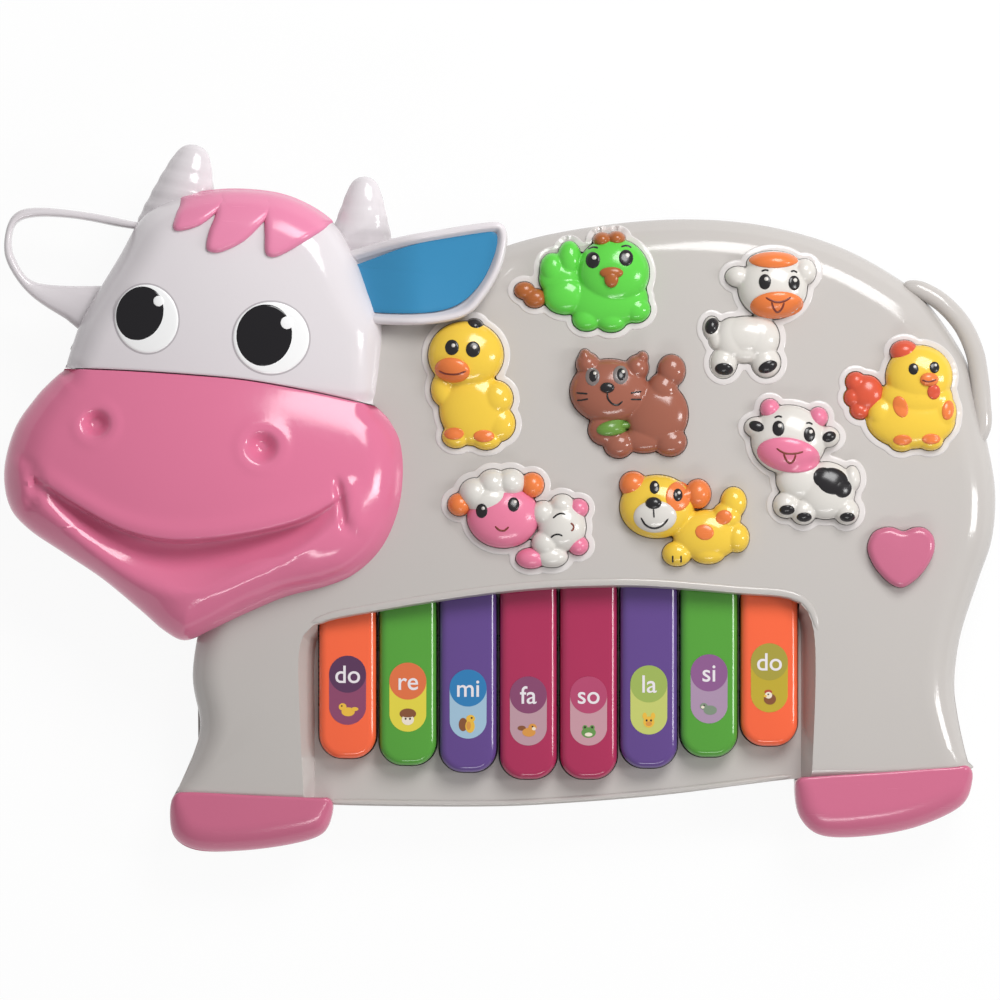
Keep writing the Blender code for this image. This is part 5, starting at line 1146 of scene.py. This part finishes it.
# Painted dots: colour, place, half sizes, rise and tilt
DOTS = {
    "duck": (("orange", -17.2, 46.7, 6.4, 4.5, 2.2, -8), ("black", -17.3, 54.9, 2.5, 2.8, 0.5, 0),
             ("black", -9.7, 54.2, 2.6, 2.9, 0.5, 0), ("white", -16.8, 55.6, 0.8, 0.8, 0.8, 0),
             ("white", -9.2, 55.0, 0.8, 0.8, 0.8, 0), ("orange", -16.6, 23.9, 3.6, 2.2, 0.6, 0),
             ("orange", -5.8, 23.0, 3.8, 2.2, 0.6, 0)),
    "bird": (("black", 33.4, 86.4, 2.6, 3.0, 0.5, 0), ("black", 45.4, 87.2, 2.6, 3.0, 0.5, 0),
             ("white", 33.9, 87.3, 0.9, 0.9, 0.8, 0), ("white", 45.9, 88.1, 0.9, 0.9, 0.8, 0),
             ("rust", 40.1, 81.8, 4.3, 2.1, 1.5, 0), ("rust", 40.1, 79.6, 2.6, 3.2, 1.7, 0)),
    "cat": (("grey", 33.3, 44.4, 2.6, 3.3, 0.4, 0), ("grey", 43.4, 45.0, 2.8, 3.4, 0.4, 0),
            ("black", 33.5, 44.6, 1.6, 2.3, 0.7, 0), ("black", 43.6, 45.2, 1.7, 2.4, 0.7, 0),
            ("white", 34.1, 45.6, 0.7, 0.7, 1.0, 0), ("white", 44.3, 46.2, 0.7, 0.7, 1.0, 0),
            ("black", 38.6, 40.4, 2.6, 1.9, 1.0, 0), ("olive", 40.8, 26.0, 6.2, 2.8, 1.4, 10)),
    "calf": (("orange", 98.7, 86.6, 9.0, 3.0, 1.0, 0), ("orange", 99.9, 70.2, 9.8, 4.9, 1.6, 3),
             ("black", 95.4, 78.6, 2.2, 2.8, 0.5, 0), ("black", 106.0, 78.2, 2.1, 2.7, 0.5, 0),
             ("white", 95.9, 79.6, 0.8, 0.8, 0.8, 0), ("white", 106.4, 79.2, 0.8, 0.8, 0.8, 0),
             ("black", 80.8, 47.2, 3.4, 2.2, 0.6, -6), ("black", 96.6, 48.0, 3.6, 2.1, 0.6, 22),
             ("black", 76.4, 62.8, 2.4, 3.1, 0.6, -25)),
    "hen": (("orange", 154.7, 43.4, 3.4, 2.5, 1.8, 0), ("red", 156.4, 39.0, 2.4, 2.7, 1.0, 0),
            ("black", 149.0, 47.2, 1.8, 2.1, 0.5, 0), ("black", 156.6, 47.8, 1.8, 2.1, 0.5, 0),
            ("white", 149.4, 48.0, 0.6, 0.6, 0.8, 0), ("white", 157.0, 48.6, 0.6, 0.6, 0.8, 0),
            ("orange", 144.4, 33.6, 2.6, 4.0, 0.6, 20), ("orange", 161.6, 32.4, 2.2, 3.6, 0.6, -10),
            ("orange", 145.2, 21.6, 3.4, 1.9, 0.6, 0), ("orange", 155.6, 22.0, 3.4, 1.9, 0.6, 0)),
    "cow": (("pink", 104.0, 16.2, 11.6, 6.2, 1.6, -9), ("black", 92.4, 26.6, 2.8, 1.9, 0.5, -20),
            ("black", 118.6, 22.8, 2.6, 1.9, 0.5, 20), ("black", 100.2, 25.8, 2.2, 2.8, 0.5, 0),
            ("black", 111.4, 23.6, 2.1, 2.7, 0.5, 0), ("white", 100.7, 26.8, 0.8, 0.8, 0.8, 0),
            ("white", 111.9, 24.6, 0.8, 0.8, 0.8, 0), ("black", 119.8, 6.8, 5.8, 4.8, 0.4, -15),
            ("black", 116.4, 8.2, 3.6, 3.6, 0.45, 20), ("black", 123.4, 4.2, 3.4, 3.4, 0.45, 0),
            ("black", 103.4, -3.6, 2.8, 1.8, 0.6, 0), ("black", 109.6, -6.2, 2.8, 1.7, 0.6, 0),
            ("black", 125.2, -6.2, 2.8, 1.7, 0.6, 0)),
    "sheep": (("black", -6.6, -3.9, 2.1, 2.6, 0.5, 0), ("black", 4.9, -1.6, 2.1, 2.6, 0.5, 0),
              ("white", -6.1, -3.0, 0.7, 0.7, 0.8, 0), ("white", 5.4, -0.7, 0.7, 0.7, 0.8, 0)),
    "dog": (("orange", 64.2, 1.4, 4.6, 5.4, 0.4, -10), ("white", 55.8, -6.0, 7.8, 5.8, 1.2, 0),
            ("black", 55.2, -1.2, 3.0, 2.3, 2.0, 0), ("black", 55.6, 4.6, 1.8, 2.4, 0.5, 0),
            ("black", 64.0, 1.8, 1.8, 2.4, 0.9, 0), ("white", 56.0, 5.4, 0.7, 0.7, 0.8, 0),
            ("white", 64.4, 2.6, 0.7, 0.7, 1.2, 0), ("orange", 80.6, -6.2, 3.0, 2.6, 0.5, 20),
            ("orange", 73.6, -11.6, 3.4, 2.8, 0.5, -10)),
}
# Painted strokes: colour, half width and path
STROKES = {
    "bird": (("black", 0.35, ((31.6, 90.6), (33.6, 91.2), (35.4, 90.8))),
             ("black", 0.35, ((43.6, 91.2), (45.6, 91.7), (47.4, 91.0)))),
    "cat": (("black", 0.32, ((27.4, 38.6), (29.4, 38.4), (31.6, 38.2))),
            ("black", 0.32, ((27.6, 35.8), (29.6, 36.0), (31.8, 36.4))),
            ("black", 0.32, ((47.0, 38.4), (49.0, 38.8), (51.0, 39.0))),
            ("black", 0.32, ((47.0, 36.2), (49.0, 36.2), (51.0, 36.2))),
            ("black", 0.36, ((38.6, 38.6), (38.8, 36.6), (40.4, 34.6), (42.4, 34.2), (44.2, 35.6)))),
    "calf": (("line", 0.38, ((95.6, 73.0), (98.2, 71.6), (100.4, 71.2), (102.8, 71.8), (105.0, 73.2))),
             ("line", 0.38, ((97.8, 71.4), (98.6, 69.0), (100.0, 67.6), (101.6, 69.0), (102.4, 71.4))),
             ("black", 0.35, ((94.2, 82.4), (95.6, 82.9), (96.8, 82.6))),
             ("black", 0.35, ((104.8, 82.3), (106.0, 82.6), (107.2, 82.0)))),
    "cow": (("line", 0.38, ((99.4, 18.6), (102.0, 17.0), (104.2, 16.6), (106.8, 16.8), (109.2, 17.4))),
            ("line", 0.38, ((102.0, 16.8), (103.0, 14.4), (104.4, 13.2), (105.8, 14.4), (106.4, 16.6))),
            ("black", 0.35, ((98.8, 29.6), (100.2, 30.2), (101.6, 29.8))),
            ("black", 0.35, ((110.2, 27.6), (111.4, 27.8), (112.6, 27.2)))),
    "sheep": (("line", 0.36, ((-1.8, -9.4), (-0.2, -10.8), (1.6, -11.0), (3.2, -9.6))),
              ("black", 0.34, ((19.0, -6.6), (20.4, -5.4), (22.0, -4.8), (23.6, -5.2))),
              ("black", 0.34, ((18.2, -13.6), (19.6, -12.6), (21.2, -12.4), (22.6, -13.0))),
              ("line", 0.34, ((25.4, -8.2), (26.4, -9.2), (26.4, -10.4), (25.6, -11.2)))),
    "dog": (("black", 0.38, ((50.6, -6.2), (52.4, -9.0), (55.4, -10.2), (58.4, -9.2), (60.6, -6.6))),
            ("black", 0.30, ((55.2, -3.2), (55.3, -5.0), (55.4, -6.4))),
            ("black", 0.32, ((62.2, -20.0), (62.2, -21.4), (62.3, -22.6))),
            ("black", 0.32, ((65.2, -20.0), (65.2, -21.4), (65.2, -22.6)))),
    "duck": (("line", 0.34, ((-22.2, 46.6), (-19.6, 45.4), (-15.6, 45.2), (-12.0, 46.4))),),
    "hen": (("line", 0.32, ((152.0, 43.2), (154.6, 42.6), (157.2, 43.4))),),
}
BUTTON_SKIRT = 7.0
SKIRT_SINK = 0.3
BUTTON_PRESS = 3.0
FIGURE_VOXEL = 0.32 * MM
STROKE_RISE = 0.24
SKIRT_SHOULDER = 1.2
dome_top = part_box("button_contact_mat")[1][2] / MM + BUTTON_PRESS + SKIRT_SINK


def blended(lumps, seat):
    """Lumps of one colour grown together into one soft moulding."""
    deep = min(BUTTON_SKIRT, seat - dome_top)
    mould = together([pad(*lump, lambda x, y: seat, sides=48, rows=24, sink=deep, swell=0.8)
                      for lump in lumps])
    apply_modifier(mould, "REMESH", mode="VOXEL", voxel_size=FIGURE_VOXEL)
    return apply_modifier(mould, "SMOOTH", factor=0.5, iterations=11)


def skin_height(piece, seat):
    """Height of the top of a piece at a place."""
    skin = BVHTree.FromObject(piece, bpy.context.evaluated_depsgraph_get())

    def height(x, y):
        place = skin.ray_cast(Vector((x * MM, y * MM, 0.2)), Vector((0.0, 0.0, -1.0)))[0]
        return place.z / MM if place else seat

    return height


for name, lumps in BUTTON_LUMPS.items():
    seat = max(shell_top(oval[0], oval[1]) for oval in lumps[:2])
    ground_colour, slot = GROUNDS[name]
    shades = [LUMP_COLOURS.get(name, {}).get(index, ground_colour) for index in range(len(lumps))]
    moulds = []
    for shade in sorted(set(shades)):
        same = [lump for lump, other in zip(lumps, shades) if other == shade]
        moulds.append(coloured(blended(same, seat), PAINTS[shade]))
    skirt_loop = joined_outline(lumps, 0.0, 160)
    rims = [shell_top(x, y) - SKIRT_SINK for x, y in skirt_loop]
    skirt = stacked([[(x, y, max(seat - BUTTON_SKIRT, dome_top)) for x, y in skirt_loop],
                     [(x, y, rim) for (x, y), rim in zip(skirt_loop, rims)],
                     [(x, y, rim) for (x, y), rim in zip(pulled_in(skirt_loop, SKIRT_SHOULDER), rims)]])
    figure = together(moulds + [coloured(skirt, PAINTS[ground_colour])])
    ground = skin_height(figure, seat)
    spots = []
    for shade, x, y, half_x, half_y, rise, tilt in DOTS[name]:
        spot = pad(x, y, half_x, half_y, rise, ground, tilt, 32, 12, sink=0.3, swell=0.7)
        spots.append(coloured(spot, PAINTS[shade]))
    figure = together([figure] + spots)
    ground = skin_height(figure, seat)
    lines = []
    for shade, half, path in STROKES[name]:
        line = swept(path, lambda share: half, lambda share: STROKE_RISE, ground, steps=24, sides=10,
                     blunt=10)
        lines.append(coloured(line, PAINTS[shade]))
    dress(together([figure] + lines), name + "_figure", None, name + "_button", [name + "_button"],
          angle=60.0)
HEART_RISE = 5.0
HEART_ROLL = 2.6
HEART_STEPS = 8
HEART_MIDDLE = (144.6, -20.0)
HEART_POLE = (144.6, -19.0)
HEART_CROWN = 0.5
heart_loop = flow(HEART_EDGE, 96)
heart_seat = shell_top(*HEART_MIDDLE)
heart_rings = [[(x, y, max(heart_seat - BUTTON_SKIRT, dome_top)) for x, y in heart_loop]]
for step in range(HEART_STEPS + 1):
    turn = 0.5 * math.pi * step / HEART_STEPS
    heart_rings.append([(x, y, heart_seat + HEART_RISE - HEART_ROLL * (1.0 - math.sin(turn)))
                        for x, y in pulled_in(heart_loop, HEART_ROLL * (1.0 - math.cos(turn)))])
heart = stacked(heart_rings, (*HEART_POLE, heart_seat + HEART_RISE + HEART_CROWN))
HEART_PINK = plastic("heart_pink", ink(194, 106, 134), drift=0.05, gloss=0.18)
dress(heart, "heart_cap", HEART_PINK, "heart_button", ["heart_button"], angle=50.0)

# Battery door, switch, screws and insides
# The door is a white panel with two tongues and one screw. Inside are two green circuit boards, grey rubber
# contact sheets, three cells, sheet-metal contacts, a loudspeaker, a hinge rod and the wires.


def metal(name, colour, rough):
    """Drawn or stamped steel with fine lines along it."""
    skin = bpy.data.materials.new(name)
    skin.use_nodes = True
    tree = skin.node_tree
    shader = tree.nodes["Principled BSDF"].inputs
    shader["Metallic"].default_value = 1.0
    place = wired(tree, "TexCoord", {})
    drawn = wired(tree, "Mapping", {"Vector": place.outputs["Object"], "Scale": (120.0, 2600.0, 2600.0)})
    noise = wired(tree, "TexNoise", {"Vector": drawn.outputs["Vector"], "Scale": 1.0, "Detail": 3.0})
    lines = noise.outputs["Fac"]
    dim = (*[value * 0.7 for value in colour], 1.0)
    shade = wired(tree, "Mix", {"Factor": lines, "A": dim, "B": (*colour, 1.0)}, data_type="RGBA")
    spread = wired(tree, "MapRange", {"Value": lines, "To Min": rough * 0.7, "To Max": rough * 1.4})
    tree.links.new(shade.outputs["Result"], shader["Base Color"])
    tree.links.new(spread.outputs["Result"], shader["Roughness"])
    return skin


def circuit_board(name):
    """Green lacquered board with a web of paler tracks."""
    skin = plastic(name, ink(38, 104, 58), drift=0.2, gloss=0.32)
    tree = skin.node_tree
    place = wired(tree, "TexCoord", {})
    tracks = wired(tree, "TexBrick", {
        "Vector": place.outputs["Object"], "Scale": 220.0, "Mortar Size": 0.03,
        "Color1": (*ink(38, 104, 58), 1.0), "Color2": (*ink(34, 92, 52), 1.0),
        "Mortar": (*ink(92, 150, 92), 1.0),
    })
    tree.links.new(tracks.outputs["Color"], tree.nodes["Principled BSDF"].inputs["Base Color"])
    return skin


STEEL = metal("contact_steel", ink(196, 196, 200), 0.3)
BOARD_GREEN = circuit_board("board_green")
SHEET_GREY = plastic("contact_sheet_grey", ink(150, 150, 148), drift=0.12, gloss=0.6, rub=0.2)
CELL_WRAP = plastic("cell_wrap", ink(48, 92, 60), drift=0.15, gloss=0.3)
SPEAKER_BLACK = plastic("speaker_cone", ink(30, 30, 32), drift=0.25, gloss=0.55)
WIRE_RED = plastic("wire_red", ink(190, 30, 30), drift=0.1, gloss=0.4)
WIRE_BLACK = plastic("wire_black", ink(28, 28, 30), drift=0.1, gloss=0.4)
KNOB_BLACK = plastic("knob_black", ink(36, 36, 38), drift=0.12, gloss=0.4, peel=0.2)
INSIDES = {
    STEEL: ("contact_left_link", "contact_negative", "contact_positive", "contact_right_link",
            "key_pivot_rod"),
    BOARD_GREEN: ("button_board", "key_board"),
    SHEET_GREY: ("button_contact_mat", "key_contact_mat"),
    CELL_WRAP: ("battery_1", "battery_2", "battery_3"),
    SPEAKER_BLACK: ("speaker",),
    WIRE_RED: ("battery_lead_red",),
    WIRE_BLACK: ("battery_lead_black", "speaker_lead", "link_cable"),
    KNOB_BLACK: ("switch_body",),
}
for skin, names in INSIDES.items():
    for name in names:
        solid = frame["nodes"][name]
        solid.data.materials.clear()
        solid.data.materials.append(skin)
SCREW_STEEL = metal("screw_steel", ink(176, 174, 170), 0.34)
EDGE_ANGLE = math.radians(50.0)


def eased(node, piece_name, skin, body, width, segments):
    """A copy of a small solid with its sharp edges rounded off."""
    piece = apply_modifier(traced(node), "BEVEL", width=width * MM, segments=segments, limit_method="ANGLE",
                           angle_limit=EDGE_ANGLE)
    return dress(piece, piece_name, skin, body, [node])


for name in ("back_screw", "face_screw", "flank_screw", "front_leg_screw", "muzzle_screw", "rear_leg_screw"):
    eased(name, name + "_turned", SCREW_STEEL, "case", 0.15, 2)
eased("door_screw", "door_screw_turned", SCREW_STEEL, "battery_door", 0.15, 2)
eased("battery_door", "battery_door_panel", BACK_WHITE, "battery_door", 0.35, 3)
eased("switch_knob", "switch_knob_cap", KNOB_BLACK, "switch_knob", 0.4, 3)

# Table and light
# A plain white table top under three soft lights: a broad one from beyond the horns, one from the rump's
# side and a long low strip in front, with pale light all round.
TABLE_HALF = 3.0
TABLE_GLOW = 0.93
pick()
bpy.ops.mesh.primitive_plane_add(size=2.0 * TABLE_HALF, location=(0.0, 0.0, 0.0))
table = bpy.context.object
table.name = "table_top"
paper = bpy.data.materials.new("table_white")
paper.use_nodes = True
tree = paper.node_tree
shader = tree.nodes["Principled BSDF"]
shader.inputs["Base Color"].default_value = (0.86, 0.86, 0.86, 1.0)
shader.inputs["Roughness"].default_value = 0.9
glow = wired(tree, "Emission", {"Strength": 1.0})
seen = wired(tree, "LightPath", {}).outputs
straight = wired(tree, "Math", {0: seen["Is Camera Ray"], 1: seen["Is Glossy Ray"]}, operation="MAXIMUM")
through = wired(tree, "Math", {
    0: straight.outputs["Value"], 1: seen["Is Transmission Ray"],
}, operation="MAXIMUM")
share = wired(tree, "Math", {0: through.outputs["Value"], 1: TABLE_GLOW}, operation="MULTIPLY")
blend = wired(tree, "MixShader", {
    "Fac": share.outputs["Value"], 1: shader.outputs["BSDF"], 2: glow.outputs["Emission"],
})
tree.links.new(blend.outputs["Shader"], tree.nodes["Material Output"].inputs["Surface"])
table.data.materials.append(paper)

room = bpy.data.worlds.new("studio")
bpy.context.scene.world = room
room.use_nodes = True
sky = room.node_tree.nodes["Background"].inputs
sky["Color"].default_value = (1.0, 1.0, 1.0, 1.0)
sky["Strength"].default_value = 0.36


def soft_box(name, place, target, size, power):
    """A square studio light pointed at the toy."""
    pick()
    bpy.ops.object.light_add(type="AREA", location=place)
    lamp = bpy.context.object
    lamp.name = name
    lamp.data.shape = "RECTANGLE"
    lamp.data.size, lamp.data.size_y = size
    lamp.data.energy = power
    lamp.rotation_euler = (Vector(target) - Vector(place)).to_track_quat("-Z", "Y").to_euler()
    return lamp


soft_box("window_light", (0.3, 0.55, 0.75), (0.0, 0.0, 0.03), (0.45, 0.45), 6.7)
soft_box("side_light", (1.0, -0.05, 0.7), (0.05, 0.0, 0.03), (0.2, 0.36), 3.5)
soft_box("front_strip", (0.15, -0.75, 0.6), (0.0, 0.0, 0.03), (0.5, 0.1), 1.6)
bpy.context.scene.view_settings.view_transform = "Standard"
